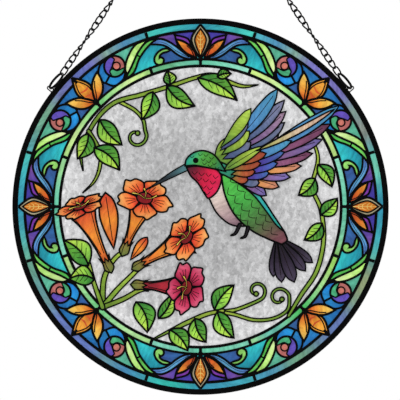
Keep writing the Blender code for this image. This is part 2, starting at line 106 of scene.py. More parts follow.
# %% Floor, world, lamps and camera
bpy.ops.object.select_all(action="DESELECT")
bpy.ops.mesh.primitive_plane_add(size=3.0, location=(0, 0, -0.75))
floor = bpy.context.object
floor.name = "floor"
paper = bpy.data.materials.new("pale_floor")
paper.use_nodes = True
paper.node_tree.nodes["Principled BSDF"].inputs["Base Color"].default_value = (0.86, 0.86, 0.86, 1)
paper.node_tree.nodes["Principled BSDF"].inputs["Roughness"].default_value = 0.8
floor.data.materials.append(paper)

world = bpy.data.worlds.new("studio")
bpy.context.scene.world = world
world.use_nodes = True
sky = world.node_tree.nodes
where = sky.new("ShaderNodeTexCoord")
parts = sky.new("ShaderNodeSeparateXYZ")
fade = sky.new("ShaderNodeMapRange")
fade.inputs["From Min"].default_value = -0.5
fade.inputs["From Max"].default_value = 0.25
fade.inputs["To Min"].default_value = 0.35
fade.inputs["To Max"].default_value = 1.0
world.node_tree.links.new(where.outputs["Generated"], parts.inputs["Vector"])
world.node_tree.links.new(parts.outputs["Y"], fade.inputs["Value"])
world.node_tree.links.new(fade.outputs["Result"], sky["Background"].inputs["Strength"])
sky["Background"].inputs["Color"].default_value = (1, 1, 1, 1)


def soft_lamp(name, place, size, watts):
    bpy.ops.object.light_add(type="AREA", location=place)
    lamp = bpy.context.object
    lamp.name = name
    lamp.data.size = size
    lamp.data.energy = watts
    aim = Vector((0, 0, -DROP)) - Vector(place)
    lamp.rotation_euler = aim.to_track_quat("-Z", "Y").to_euler()
    return lamp


soft_lamp("key_lamp", (-0.9, -1.3, 0.75), 0.6, 9.0)
soft_lamp("fill_lamp", (1.2, -1.0, -0.1), 0.8, 3.0)

PIXEL = 0.798 * MM
CAMERA_AWAY = 2.4
bpy.ops.object.camera_add(location=(-0.5 * PIXEL, -CAMERA_AWAY, -DROP + 6.6 * PIXEL),
                          rotation=(math.radians(90), 0, 0))
camera = bpy.context.object
camera.data.sensor_width = 36
camera.data.lens = 36 * CAMERA_AWAY / (400 * PIXEL)
camera.data.clip_start = 0.01
bpy.context.scene.camera = camera
bpy.context.scene.view_settings.view_transform = "Standard"
print("camera lens in mm:", round(camera.data.lens))

# %% [markdown]
# ## A sketch of the panel
# A glass artist starts from a cartoon, a full-size drawing on paper. Here it is a list of shapes in
# painting order. A pane hides what lies under it, and a line is drawn round it or left open. The
# same list later gives both the panes of colour and the raised lines, so the two always agree.

# %% The sketch and its curves
BORDER_WEIGHT = 1.12
PICTURE_WEIGHT = 1.22
sketch = []
weight = BORDER_WEIGHT


def curve(points, closed=False, steps=6):
    """A smooth curve through the points."""
    p = np.array(points, float)
    n = len(p)
    out = []
    for i in range(n if closed else n - 1):
        if closed:
            a, b, c, d = p[i - 1], p[i], p[(i + 1) % n], p[(i + 2) % n]
        else:
            a, b, c, d = p[max(i - 1, 0)], p[i], p[i + 1], p[min(i + 2, n - 1)]
        for k in range(steps):
            t = k / steps
            bend = (c - a) * t + (2 * a - 5 * b + 4 * c - d) * t * t
            out.append(0.5 * (2 * b + bend + (3 * b - a - 3 * c + d) * t ** 3))
    if not closed:
        out.append(p[-1])
    return np.array(out)


def outline(*arcs):
    """One closed outline from curves that meet in corners."""
    out = []
    for arc in arcs:
        arc = curve(arc) if len(arc) > 2 else np.array(arc, float)
        if out and np.allclose(out[-1], arc[0], atol=1e-6):
            arc = arc[1:]
        out.extend(arc)
    if np.allclose(out[0], out[-1], atol=1e-6):
        out = out[:-1]
    return np.array(out)


def ribbon(points, widths):
    """Outline of a stroke whose width changes along it, with a rounded end."""
    middle = curve(points)
    share = np.linspace(0, 1, len(middle))
    half = np.interp(share, np.linspace(0, 1, len(widths)), widths) / 2
    ahead = np.gradient(middle, axis=0)
    ahead /= np.maximum(np.linalg.norm(ahead, axis=1), 1e-9)[:, None]
    side = np.c_[-ahead[:, 1], ahead[:, 0]]
    left = middle + side * half[:, None]
    right = middle - side * half[:, None]
    caps = []
    for end, way in ((-1, 1), (0, -1)):
        caps.append([middle[end] + half[end] * (way * ahead[end] * math.sin(a) + way * side[end] * math.cos(a))
                     for a in (math.pi / 4, math.pi / 2, 3 * math.pi / 4)])
    return np.r_[left, caps[0], right[::-1], caps[1]]


def pane(kind, points, width=1.7, axis=None, closed=True, thin=False):
    """A pane of colour with a raised line round it; axis runs from its root to its tip."""
    sketch.append(dict(kind=kind, points=np.array(points, float), half=width * weight / 2, axis=axis,
                       closed=closed, fill=bool(kind), thin=thin, ring=0.0))


def line(points, width, closed=False, thin=False):
    """A raised line, or a thin painted one: a pane without a kind, so without glass in it."""
    pane("", points, width, None, closed, thin)


def vein(points, width=0.55):
    line(curve(points, steps=4) if len(points) > 2 else points, width, thin=True)


def round_points(centre, radius, steps):
    turn = np.linspace(0, 2 * math.pi, steps, endpoint=False)
    return np.c_[centre[0] + radius * np.sin(turn), centre[1] + radius * np.cos(turn)]


def circle(kind, centre, radius, width, steps, axis=None):
    pane(kind, round_points(centre, radius, steps), width, axis)


def ring(kind, radius):
    """A pane that fills a circle about the panel's centre, without a line."""
    circle(kind, (0, 0), radius, 0, 216)
    sketch[-1]["ring"] = radius


def knob(centre, radius):
    """A round blob of the raised line's material."""
    line([(centre[0] - 0.01, centre[1]), (centre[0] + 0.01, centre[1])], 2 * radius)


# %% [markdown]
# ## The border
# The border is traditional ornament: a palmette on each axis, a lotus bud on each diagonal, and between
# them ribbons, long leaves, curls and a spiral. One eighth of it is drawn in polar form, as an angle from
# the palmette and a share of the band's width, and turned and mirrored eight times.

# %% Border ornament
R_PICTURE_LINE = (R_INNER_BARS + R_PICTURE) / 2
OUTER_TIE = 17.5
INNER_TIE = 20
OUTER_RING = (R_OUTER_LINE, R_BAR_TOP)
INNER_RING = (R_INNER_BARS - .5, R_INNER_LINE)
TIE_WIDTH = 2.2
ring("outer_bars", R_BAR_TOP + 1.5)
ring("teal", R_OUTER_LINE)
ring("inner_bars", R_INNER_LINE)
ring("clear", R_PICTURE_LINE)


def place_in(sector, side, offset=0.0):
    """Functions that place one (angle, share of the band), or several, in one eighth of the border."""
    def at(angle, share):
        radius = R_BAND_IN + share * (R_BAND_OUT - R_BAND_IN)
        return at_clock(90 * sector + side * (offset + angle), radius)

    def run(*pairs):
        return [at(*pair) for pair in pairs]
    return at, run


def tie(angle, ends):
    """A short line that ends one bar and starts the next."""
    line([at_clock(angle, radius) for radius in ends], TIE_WIDTH)


def eighth(sector, side):
    run = place_in(sector, side)[1]

    def edge(first, last, share):
        """Points that follow the band's outer or inner edge."""
        return run(*[(angle, share) for angle in np.linspace(first, last, 7)])

    # Grounds, which have no line of their own and end under the ring lines
    top, low = 1.05, -.04
    pane("indigo", run((2, .4)) + edge(2, 8.6, top) + run((8.4, .5)), 0, run((3, 1), (8, .6)))
    pane("purple", run((8.4, .5)) + edge(8.7, 17.5, top) + run((15, .8), (11, .6), (9, .4)), 0,
         run((9, .6), (14, 1)))
    pane("deep", edge(15, 3, low) + run((6, .15), (11, .48), (14, .4), (16, .2)), 0, run((14, .3), (6, 0)))
    pane("mint", edge(20, 33, top) + run((31, .6), (28, .3), (24, .7)), 0, run((22, 1), (29, .5)))
    pane("lagoon", edge(36, 45, low) + edge(45, 32.6, top) + run((34.5, .86), (36.6, .6), (37.4, .3)), 0,
         run((38, 1), (42, 0)))
    pane("deep", edge(34, 44, low) + run((41, .1), (38.6, .5), (37.6, .22)), 0, run((40, .2), (36, 0)))


def eighth_lines(sector, side):
    at, run = place_in(sector, side)

    def petal(kind, width, axis, *arcs):
        pane(kind, outline(*[run(*arc) for arc in arcs]), width, run(*axis))

    tie(90 * sector + side * OUTER_TIE, OUTER_RING)
    tie(90 * sector + side * INNER_TIE, INNER_RING)
    line(curve(run((8.8, 1.03), (8.4, .9), (8.3, .72), (7.9, .5))), 1.6)
    petal("violet", 1.5, ((4, .6), (8, .9)),
          ((3.4, .52), (4.2, .75), (6.2, .87), (8.5, .96)), ((8.5, .96), (8.4, .80)),
          ((8.4, .80), (5.8, .68), (4.0, .50)), ((4.0, .50), (3.4, .52)))
    petal("ribbon", 1.6, ((4, 0), (17, .85)),
          ((2.2, 0), (4.5, .11), (6.7, .31), (8.9, .55), (11.1, .77), (13.2, .91), (15.4, .93), (18.3, .84)),
          ((18.3, .84), (15.7, .77), (13.5, .68), (12, .58), (10.6, .43), (8.8, .22), (6.6, .06), (4.0, -.02),
           (2.2, 0)))
    vein(run((4.6, .05), (8.6, .33), (11.2, .62), (13.4, .79), (15.6, .85)), 0.4)
    petal("orange", 1.7, ((2, .05), (8, .75)),
          ((1.5, .02), (2.1, .24), (3.7, .48), (5.8, .67), (8.3, .79)),
          ((8.3, .79), (7.6, .55), (6.4, .34), (4.5, .16), (1.5, .02)))
    vein(run((2.6, .12), (3.4, .33), (4.8, .50)), 0.8)
    cut = ((28.9, .11), (27.3, .21), (25.6, .35), (24.0, .50), (22.4, .66), (20.4, .82), (18.5, .94),
           (16.4, .98), (14.2, .95))
    petal("green", 1.6, ((28, 0), (17, .95)),
          ((14.2, .95), (16.2, .88), (18.4, .75), (20.4, .61), (22.2, .47), (23.6, .33), (25.0, .17),
           (27, .03), (30.8, -.03)), ((30.8, -.03), (28.9, .11)), cut)
    line(run((21.9, .50), (23.0, .63)), 1.2)
    petal("lime", 1.6, ((21, .9), (28.5, .2)),
          ((18.0, 1.02), (21.3, 1.01), (23.3, .91), (25.2, .75), (26.9, .58), (28.2, .41), (28.9, .26),
           (28.9, .11)), cut[:6] + ((18.0, 1.02),))
    petal("curl", 1.6, ((11, .45), (16, .05)),
          ((10.4, .42), (12.2, .51), (14, .51), (15.9, .42), (17.3, .26), (17.5, .09), (16.5, -.02),
           (15.1, -.03), (14.2, .05), (14.1, .16), (14.9, .24), (15.5, .22)),
          ((15.5, .22), (15.0, .31), (13.9, .37), (12.4, .38), (10.4, .42)))
    # Blue swirl, and the spiral that sits in it
    middle = (31.5, .615)
    petal("blue", 1.6, ((36, .9), (37, .3)),
          ((33.2, 1.0), (35.2, .97), (36.8, .84), (37.9, .64), (38.1, .38), (37.5, .28)), ((37.5, .28), middle),
          (middle, (33.2, 1.0)))
    petal("azure", 1.6, ((31, .1), (36.5, .25)),
          ((37.5, .28), (36.4, .08), (35.0, -.02), (32.8, -.02), (30.9, .04), (29.3, .2)), ((29.3, .2), middle),
          (middle, (37.5, .28)))
    hub = at(*middle)
    reach = 8.35
    out = np.array(at_clock(90 * sector + side * middle[0], 1.0))
    over = side * np.array([out[1], -out[0]])

    def spot(*pairs):
        return [tuple(np.array(hub) + reach * (t * over + n * out)) for t, n in pairs]

    def arc(turns):
        return spot(*[(math.sin(a), math.cos(a)) for a in turns])

    circle("salmon", hub, reach, 0, 60, spot((-.8, -.3), (0, .8)))
    pane("comma", outline(spot((-.20, .96), (-.33, .60), (.01, .31), (.22, .10), (.40, -.02), (.66, -.22),
                               (.70, -.70)), arc(np.radians(np.linspace(135, -12, 7)))),
         1.1, spot((.7, -.6), (0, .8)))
    pane("sea", outline(spot((-.80, -.60), (-.44, -.55), (0, -.47), (.25, -.16), (.43, -.08), (.66, -.22),
                             (.70, -.70)), arc(np.radians(np.linspace(135, 233, 7)))),
         1.1, spot((-.6, -.7), (.5, -.3)))
    circle("pink", spot((-.17, -.06))[0], .36 * reach, 1.1, 30, spot((-.4, -.3), (0, .2)))
    line(arc(np.linspace(0, 2 * math.pi, 48, endpoint=False)), 1.6, closed=True)
    # Side petal of the lotus bud
    petal("gold", 1.7, ((44, 0), (38.5, .75)),
          ((37.5, .82), (37.75, .58), (38.5, .34), (39.9, .15), (41.8, .03), (44.8, -.05)),
          ((44.8, -.05), (44.6, .08), (43.6, .28), (42.5, .47), (41.1, .62), (39.3, .74), (37.5, .82)))
    vein(run((40.2, .60), (41.7, .40), (43.0, .17), (44.2, .02)), 0.9)


def flower_of(sector):
    """The middle petals of the palmette on an axis, and of the lotus bud on a diagonal."""
    at, run = place_in(sector, 1)

    def both(*pairs):
        return outline(run(*pairs), run(*[(-a, u) for a, u in pairs[::-1]]))

    pane("tan", both((0, 1.29), (1.35, 1.10), (2.6, .90), (3.15, .70), (2.6, .46), (1.55, .22), (0, -.02)),
         1.7, run((0, 0), (0, 1.2)))
    pane("palm", both((0, 1.13), (1.0, .97), (1.75, .81), (1.95, .67), (1.5, .45), (.7, .24), (0, .08)),
         1.2, run((0, .1), (0, 1.1)))
    # Pale gold branches painted in the petal
    strokes = [[(0, .18), (0, .62), (0, 1.04)]]
    for low, side_reach, high in ((.36, .8, .52), (.52, 1.15, .66), (.70, 1.1, .80), (.84, .7, .92)):
        for side in (1, -1):
            strokes.append([(0, low), (side * side_reach * .6, low + .02), (side * side_reach, high)])
    for stroke in strokes:
        pane("branch", ribbon(run(*stroke), [.75, .6, .35]), 0)
    knob(at(0, -.03), 2.0)
    at, run = place_in(sector, 1, 45)
    pane("ember", both((0, 1.28), (-1.3, 1.05), (-2.3, .84), (-2.8, .63), (-2.4, .45), (-1.2, .25), (0, .02)),
         1.7, run((0, .05), (0, 1.1)))
    for height, reach in ((.34, 1.2), (.58, 1.7)):
        band = run((reach, height + .03), (reach * .2, height), (-reach, height + .07))
        pane("ember_band", ribbon(band, [.8, 1.5, .8]), 0, [band[0], band[2]])
    vein(run((-1.9, .42), (-1.95, .62), (-1.3, .84), (0, 1.06), (1.3, .84), (1.95, .62), (1.9, .42)), 1.0)
    knob(at(0, -.04), 2.2)
    tie(90 * sector, INNER_RING)
    tie(90 * sector + 45, OUTER_RING)
    tie(90 * sector + 45, INNER_RING)


for sector in range(4):
    for side in (1, -1):
        eighth(sector, side)
for radius, width in ((R_OUTER_LINE, 2.1), (R_INNER_LINE, 1.7), (R_PICTURE_LINE, 2.1)):
    line(round_points((0, 0), radius, 216), width, closed=True)
for sector in range(4):
    for side in (1, -1):
        eighth_lines(sector, side)
for sector in range(4):
    flower_of(sector)
print("border:", len(sketch), "shapes")

# %% [markdown]
# ## The picture
# The middle holds a plain picture of a hovering bird, trumpet flowers, leaves and tendrils. It is drawn
# with a few building blocks: a blade for leaves and feathers, a ribbon for stems, a spiral for tendrils
# and a trumpet for flowers. Points are hundredths of the picture's radius.

# %% Building blocks of the picture
weight = PICTURE_WEIGHT
SCALE = R_PICTURE / 100
BLADE_STEPS = (0, .12, .28, .45, .62, .78, .9, 1)


def pic(points):
    return [(x * SCALE, z * SCALE) for x, z in points]


def patch(kind, width, axis, *arcs):
    """A pane of the picture, drawn with curves that meet in corners."""
    pane(kind, outline(*[pic(arc) for arc in arcs]), width, pic(axis))


def ticks(places, mark, width):
    """The same short painted mark at each place, as on scales and small feathers."""
    for x, z in places:
        vein(pic([(x + a, z + b) for a, b in mark]), width)


def blade(root, tip, wide, bend=0.0, fullest=0.5, blunt=0.0):
    """Middle line, side direction and two edges of a leaf or feather."""
    root = np.array(root, float)
    way = np.array(tip, float) - root
    side = np.array([-way[1], way[0]]) / np.linalg.norm(way)

    def middle(t):
        return root + way * t + side * bend * 4 * t * (1 - t)

    left = []
    right = []
    for t in BLADE_STEPS:
        swell = math.sin(math.pi * t ** (math.log(.5) / math.log(fullest))) if 0 < t < 1 else 0.0
        half = wide / 2 * swell ** (1 - .35 * blunt) if swell > 0 else 0.0
        left.append(middle(t) + side * half)
        right.append(middle(t) - side * half)
    return middle, side, left, right


def leaf(root, tip, wide, bend=0.0, dark="leaf_dark", light="leaf_light"):
    middle, side, left, right = blade(root, tip, wide, bend, .42)
    rib = [middle(t) for t in BLADE_STEPS]
    patch(dark, 1.3, (root, tip), left, rib[::-1])
    patch(light, 1.3, (root, tip), rib, right[::-1])
    for t in (.22, .40, .58):
        for way in (1, -1):
            start = middle(t)
            end = middle(t + .17) + way * side * wide * .30
            vein(pic([start, (start + end) / 2 + way * side * wide * .015, end]), .45)


def stem(points, widths, kind="stem"):
    pane(kind, ribbon(pic(points), [(w + .5) * SCALE for w in widths]), 1.0, pic([points[0], points[-1]]))


def tendril(centre, reach, last, way, tail):
    """A hook that curls in to a bulb; it leaves its circle at the last angle and runs out along the tail."""
    points = []
    for i in range(11):
        t = i / 10
        turn = math.radians(last - way * 330 * (1 - t))
        away = reach * (.34 + .66 * t)
        points.append((centre[0] + away * math.cos(turn), centre[1] + away * math.sin(turn)))
    stem(points + tail, [1.2, 1.3, 1.5, 1.7, 2.0])
    circle("stem", pic(points[:1])[0], 1.9, 1.1, 14, pic([points[0], points[3]]))


def feather(root, tip, wide, bend, kind, width=1.05, fullest=.62, shaft=((.1, .5, .9), .45)):
    """A blunt blade; its shaft is a painted line through shares of its length, or None."""
    middle, side, left, right = blade(root, tip, wide, bend, fullest, 1.0)
    patch(kind, width, (root, tip), left, right[::-1])
    if shaft:
        vein(pic([middle(t) for t in shaft[0]]), shaft[1])


def bud(root, tip, wide, kind, width=1.3):
    feather(root, tip, wide, 0, kind, width, shaft=((.15, .5, .92), .6))


def trumpet(calyx, mouth, reach, tilt, tube, lobe, squash, turn):
    """A trumpet flower: green calyx, flared tube and a mouth of five lobes seen at a slant."""
    calyx = np.array(calyx, float)
    mouth = np.array(mouth, float)
    way = mouth - calyx
    length = np.linalg.norm(way)
    way /= length
    side = np.array([-way[1], way[0]])
    edges = []
    for s in (1, -1):
        edges.append([calyx + s * side * 2.2, calyx + way * length * .35 + s * side * 3.2,
                      calyx + way * length * .72 + s * side * reach * .42, mouth + s * side * reach * .80])
    patch(tube, 1.3, (calyx, mouth), edges[0], (edges[0][-1], edges[1][-1]), edges[1][::-1])
    for off in (-.12, .16):
        start = calyx + way * length * .2 + side * off * 8
        end = calyx + way * length * .85 + side * off * reach * 3
        vein(pic([start, (start + end) / 2 - side * off * 5, end]), .6)
    lean = math.radians(tilt)
    over = np.array([math.cos(lean), math.sin(lean)])
    up = np.array([-math.sin(lean), math.cos(lean)])

    def rim(share, angle):
        return mouth + (over * math.cos(angle) + up * squash * math.sin(angle)) * reach * share

    half = math.pi / 5
    for i in range(5):
        middle = math.radians(turn + 72 * i)
        points = [rim(s, middle + half * a) for s, a in ((.30, -.75), (.86, -.98), (1.12, -.52), (1.10, -.12),
                                                        (1.24, .08), (1.09, .42), (.90, .95), (.30, .75))]
        patch(lobe, 1.2, (mouth, rim(1.1, middle)), points, (points[-1], points[0]))
        for off in (-.35, .0, .35):
            vein(pic([rim(.42, middle + half * off * .8), rim(.84, middle + half * off)]), .45)
    heart = [rim(.34, a) for a in np.linspace(0, 2 * math.pi, 10, endpoint=False)]
    pane("heart", curve(pic(heart), True), 1.0, pic([rim(.3, math.pi), rim(.3, 0)]))
    for angle in (.3, 1.5, 2.6):
        pane("stamen", ribbon(pic([rim(0, 0), rim(.3, angle), rim(.55, angle + .25)]), [.8, .9, 1.5]), .5)
    # The calyx ends in two pointed sepals with a notch between them

    def cup(ahead, aside):
        return calyx + way * ahead + side * aside

    upper = [cup(-6, 0), cup(-2.5, 3.4), cup(3, 3), cup(7, 4.2)]
    lower = [cup(7, -4.2), cup(3, -3), cup(-2.5, -3.4), cup(-6, 0)]
    notch = [cup(2.6, 1.3), cup(5.5, 0), cup(2.6, -1.3)]
    patch("calyx", 1.1, (upper[0], upper[3]), upper, (upper[3], notch[0]), notch[:2], notch[1:],
          (notch[2], lower[0]), lower)
    vein(pic([cup(-4.5, 1), cup(-1, 1.3), notch[0]]), .5)


# %% Stems, tendrils and leaves
stem([(-70, -72), (-69, -52), (-62, -38), (-52, -30)], [3.4, 3.0, 2.6, 2.2])
stem([(-70, -72), (-60, -60), (-50, -50), (-44, -44)], [3.4, 3, 2.6, 2.2])
stem([(-70, -72), (-55, -66), (-44, -60), (-34, -58)], [3, 2.8, 2.4, 2])
stem([(-70, -72), (-76, -55), (-80, -40), (-84, -30)], [3, 2.4, 2, 1.6])
tendril((-46, 50), 8, 37, 1, [(-41, 62), (-47, 69), (-58, 75)])
tendril((40, -60), 7, 294, -1, [(34, -70.5), (24, -74), (14, -75)])
tendril((56, -65), 7.5, 0, -1, [(62, -74), (52, -80), (38, -81), (24, -77), (12, -75)])
stem([(-84, 26), (-85, 40), (-76, 60), (-62, 74), (-42, 80), (-22, 86), (-4, 92), (8, 94), (18, 90), (30, 86),
      (41, 87)], [0, 2.0, 2.4, 2.6, 2.6, 2.4, 2.2, 2.4, 2.6, 1.8, -.3])
stem([(-80, 54), (-72, 40), (-72, 28), (-76, 18), (-84, 10)], [2.2, 2.0, 1.8, 1.2, -.3])
stem([(63, -78), (72, -63), (83, -46), (88, -24), (86, -2), (80, 14), (84, 34), (80, 48)],
     [1.8, 2.4, 2.6, 2.4, 2.2, 2.2, 1.8, 1.0])
stem([(-34, -95), (-12, -84), (4, -77), (16, -74.5)], [.4, 2.6, 2.4, 2.2])
for root, tip, wide, bend in (
        ((-80, 52), (-88, 34), 13, 2), ((-72, 62), (-56, 44), 14, -2), ((-76, 42), (-58, 26), 14, 3),
        ((-34, 82), (-42, 62), 13, 2), ((-24, 86), (-4, 72), 14, -3),
        ((-2, 92), (26, 76), 14, 3), ((-22, 87), (-24, 97), 9, -1), ((12, 93), (22, 95), 7, 1),
        ((82, 20), (70, 8), 12, 2), ((84, 30), (94, 14), 11, 2), ((86, -6), (98, 6), 11, -1),
        ((87, -12), (74, -24), 11, 2), ((-80, -42), (-98, -24), 16, -3), ((-76, -52), (-94, -52), 14, -3),
        ((-46, -68), (-38, -90), 15, 3), ((-22, -88), (-9, -103), 13, 2), ((-4, -80), (4, -97), 13, -2),
        ((12, -75), (24, -94), 13, -2), ((10, -74), (24, -56), 13, 2), ((-30, -80), (-20, -62), 10, -2)):
    leaf(root, tip, wide, bend)

# %% Flowers
bud((-62, -30), (-68, 10), 13, "coral_tube")
trumpet((-66, -42), (-86, 0), 15, 20, "coral_tube", "coral", .42, 100)
trumpet((-54, -30), (-40, 6), 17, -12, "coral_tube", "coral", .72, 64)
trumpet((-44, -42), (-10, -22), 16, 50, "coral_tube", "coral", .70, 10)
trumpet((-44, -56), (-10, -58), 16, 80, "crimson_tube", "crimson", .72, 30)
bud((-50, -38), (-38, -22), 7, "coral_tube", 1.1)

# %% Bird: rear wing, tail, body, head and front wing
for i, (tip, wide, kind) in enumerate((((47, 44), 8, "slate"), ((56, 52), 9, "plum"), ((60, 60), 9, "slate"),
                                       ((61, 68), 9, "plum"), ((60, 76), 9, "slate"), ((55, 84), 10, "sky"))):
    feather((18 + 1.2 * (5 - i), 35 + i), tip, wide, -2.0, kind)
patch("moss", .9, ((14, 30), (28, 50)),
      ((10, 30), (11, 40), (15, 47), (24, 52)), ((24, 52), (34, 46), (36, 38), (30, 30)),
      ((30, 30), (20, 26), (10, 30)))
for root, tip, kind in (((16, 34), (36, 46), "slate"), ((15, 37), (35, 54), "moss"),
                        ((14, 40), (34, 62), "slate"), ((14, 42), (36, 70), "moss")):
    feather(root, tip, 8, -1, kind, .9, shaft=None)
for tip, wide in (((52, -50), 7), ((80, -40), 7), ((58, -54), 8), ((75, -46), 8), ((67, -54), 9)):
    feather((54, -20), tip, wide, 0, "tail", 1.0, .7)
patch("cream", 1.2, ((8, 20), (26, -12)),
      ((4, 12), (7, 4), (12, -5), (20, -12), (28, -14), (36, -12), (34, 0), (26, 12), (18, 22), (8, 24)),
      ((8, 24), (4, 12)))
patch("belly", 1.3, ((22, 18), (54, -24)),
      ((15, 22), (17, 10), (22, -2), (29, -11), (38, -18), (48, -23), (58, -27)),
      ((58, -27), (62, -24), (60, -18)),
      ((60, -18), (52, -6), (44, 6), (34, 18), (24, 27), (15, 22)))
patch("back", 1.1, ((12, 30), (58, -16)),
      ((12, 33), (24, 27), (34, 18), (44, 6), (52, -6), (60, -18)),
      ((60, -18), (54, -13), (46, -2), (38, 8), (28, 16), (18, 22), (10, 26), (12, 33)))
ticks(((22, 10), (27, 4), (32, -1), (37, -6), (42, -11), (47, -15), (26, -4), (31, -8), (36, -13), (24, 19),
       (29, 13), (34, 7), (39, 1), (44, -4), (49, -9), (53, -18)), ((-2, 3.4), (-2.4, -1.2), (2.2, -2.2)), .5)
for root, tip in (((28, -13), (25, -19)), ((34, -15), (32, -21))):
    pane("tail", ribbon(pic([root, tip, (tip[0] - 3, tip[1] - 1.5)]), [2.6, 2.0, .8]), .9)
patch("beak", .9, ((-10, 28), (-40, 11)),
      ((-10, 31), (-22, 24), (-40, 11)), ((-40, 11), (-24, 19), (-9, 26)), ((-9, 26), (-10, 31)))
patch("throat", 1.2, ((-8, 24), (12, 14)),
      ((-10, 28), (-4, 29), (4, 28), (12, 26), (15, 20), (12, 11), (6, 6), (3, 9), (-2, 17), (-7, 22),
       (-10, 28)))
ticks(((-4, 24.5), (1, 23.5), (6, 23), (11, 21.5), (-1, 20), (4, 19), (9, 17.5), (2.5, 14.5), (7, 13.5),
       (5, 10)), ((-2, .6), (-.4, -1.4), (1.8, .4)), .45)
patch("crown", 1.2, ((-8, 36), (16, 26)),
      ((-11, 29), (-10, 34), (-5, 38.5), (2, 40), (9, 37.5), (14, 32), (18, 25)),
      ((18, 25), (12, 26.5), (4, 28), (-4, 29.5), (-11, 29)))
ticks(((0, 37.5), (4, 37), (8, 35), (2, 34), (6, 32.5), (10, 31), (3, 31), (7, 29.5), (12, 28), (-6, 36)),
      ((-1.6, .4), (-.2, -1.1), (1.4, .3)), .4)
knob(pic([(-3.4, 33)])[0], 1.9)
front = (((47, 8), 8, "dusk"), ((56, 14), 9, "apricot"), ((64, 21), 9, "dusk"), ((72, 29), 9, "apricot"),
         ((80, 38), 9.5, "rose"), ((87, 48), 9.5, "dusk"), ((93, 59), 9.5, "rose"), ((99, 72), 9.5, "sky"))
for i, (tip, wide, kind) in enumerate(front):
    t = i / (len(front) - 1)
    feather((24 + 10 * t, 20 + 14 * t), tip, wide, 1.5 - 3.0 * t, kind, 1.1)
for root, tip, kind in (((27, 17), (42, 17), "slate"), ((28, 20), (49, 24), "iris"),
                        ((28, 23), (55, 31), "iris"), ((28, 26), (60, 39), "iris"),
                        ((28, 29), (65, 47), "sky")):
    feather(root, tip, 7.5, .6, kind, 1.0, shaft=None)
for root, tip in (((22, 20), (34, 19)), ((22, 23), (39, 25)), ((22, 26), (43, 31)), ((22, 29), (47, 38))):
    feather(root, tip, 7, .4, "rust", 1.0, shaft=None)
feather((17, 26), (45, 43), 7.0, .4, "moss", 1.0, .45)
feather((40, 40), (96, 70), 4.2, -1.6, "sand", 1.1, .5, None)
print("sketch:", len(sketch), "shapes,", sum(len(s["points"]) for s in sketch), "points")

# %% [markdown]
# ## Colours of the glass
# The colour of a pane shades from its root to its tip, like a film that was laid on by hand. Each kind
# of pane has a few screen colours, first at the root and last at the tip. Blender counts in linear
# light, so they are converted once, here.

# %% Palette
PALETTE = {
    "teal": "32c8cd 1e9baf 147a91", "clear": "c8c8ca", "indigo": "4137a0 4b41aa", "purple": "5541a5 82509f",
    "violet": "8c3caf 6e32a5", "ribbon": "4b82c8 64afd7 5078d2", "deep": "325596 2d6eaa", "mint": "5ab496",
    "green": "50be50 73d75f", "lime": "bcf57a e4ffaf", "curl": "82cd5f 96dc6e", "blue": "196eb4 238ccd",
    "azure": "1982d7 239be1", "lagoon": "1d6cb2 2b9cd6", "salmon": "c8736e", "comma": "6450be",
    "sea": "3ca56e 50b982", "pink": "d77d6e", "orange": "be3c19 dc6e23 f5aa3c", "tan": "968c6e beb496",
    "palm": "c85a19 e18226 d77d1e", "branch": "facd6e", "ember": "c8461a f5a032 faaa3c",
    "ember_band": "dc5a28", "gold": "c84b14 faaa3c ffd264", "leaf_dark": "328232 78be3c",
    "leaf_light": "6eb941 d7fa5a", "stem": "739b32 afc846", "coral": "b4191e dc3c28 fa7837 ffaf64",
    "coral_tube": "d25a28 fa9632 d23c28",
    "crimson": "780a32 a0143c c8325a e16482", "crimson_tube": "8c1428 c8323c", "heart": "780f19 96141e",
    "stamen": "f5d75a", "calyx": "6e823c 966e32", "slate": "4b5082 5a6e96 8282a0",
    "plum": "5f4678 8c6e9b aa8ca0", "sky": "5078be 50a0c8", "moss": "5a8c3c 96b43c bedc5a",
    "tail": "140c18 241a2c 50465c", "cream": "ebe6d7 d2beb4 8c6e78", "belly": "50be4b 46aa46 4b6e3c 784650",
    "back": "2d9678 28785a 32bebe 28a08c", "beak": "5a8c96 28323c 141619", "throat": "5a1428 c8143c dc1e50",
    "crown": "28a08c 50aa46 468c32 1e7864", "dusk": "643c8c 8c6496 786eb4", "apricot": "b46446 eba05a c8826e",
    "rose": "824678 965a82 6e3c5a", "iris": "6e3296 5046aa 4678be", "rust": "8c8c3c b45a32 a04632",
    "sand": "b4be5a e6cdaa dcaf96",
}
OUTER_BARS =((0, "288ca5"), (17.4, "4bd7c8"), (17.6, "4bafb9"), (25, "5091b9"), (32, "87a896"), (38, "7d73be"),
              (45, "7d73be"))
INNER_BARS = ((0, "64c8a5"), (19.9, "a0ebd2"), (20.1, "cdf082"), (30, "d9f6a0"), (45, "78d77d"))
# Places where the hand-laid film of the bars differs: angle, colour and spread in degrees
OUTER_PATCHES = ((65, "96917d", 6), (77, "78c8a8", 6), (115, "a8a86a", 8), (146, "6ea078", 8),
                 (190, "2dc3aa", 8), (250, "70a584", 10), (298, "72b088", 9), (317, "5a6eb4", 6))
INNER_PATCHES = ((112, "96d25a", 8), (136, "3caf50", 6), (150, "50aeaa", 8), (286, "a0dc8c", 7),
                 (345, "5fb473", 7))
# Both rings cool to another colour at the foot of the panel, by this share
BARS = {"outer_bars": (OUTER_BARS, OUTER_PATCHES, "3c87b9", .45),
        "inner_bars": (INNER_BARS, INNER_PATCHES, "64c8a5", .35)}


def screen(code):
    return np.array([int(code[i:i + 2], 16) for i in (0, 2, 4)]) / 255


def to_linear(colour):
    return np.where(colour > .04045, ((colour + .055) / 1.055) ** 2.4, colour / 12.92)


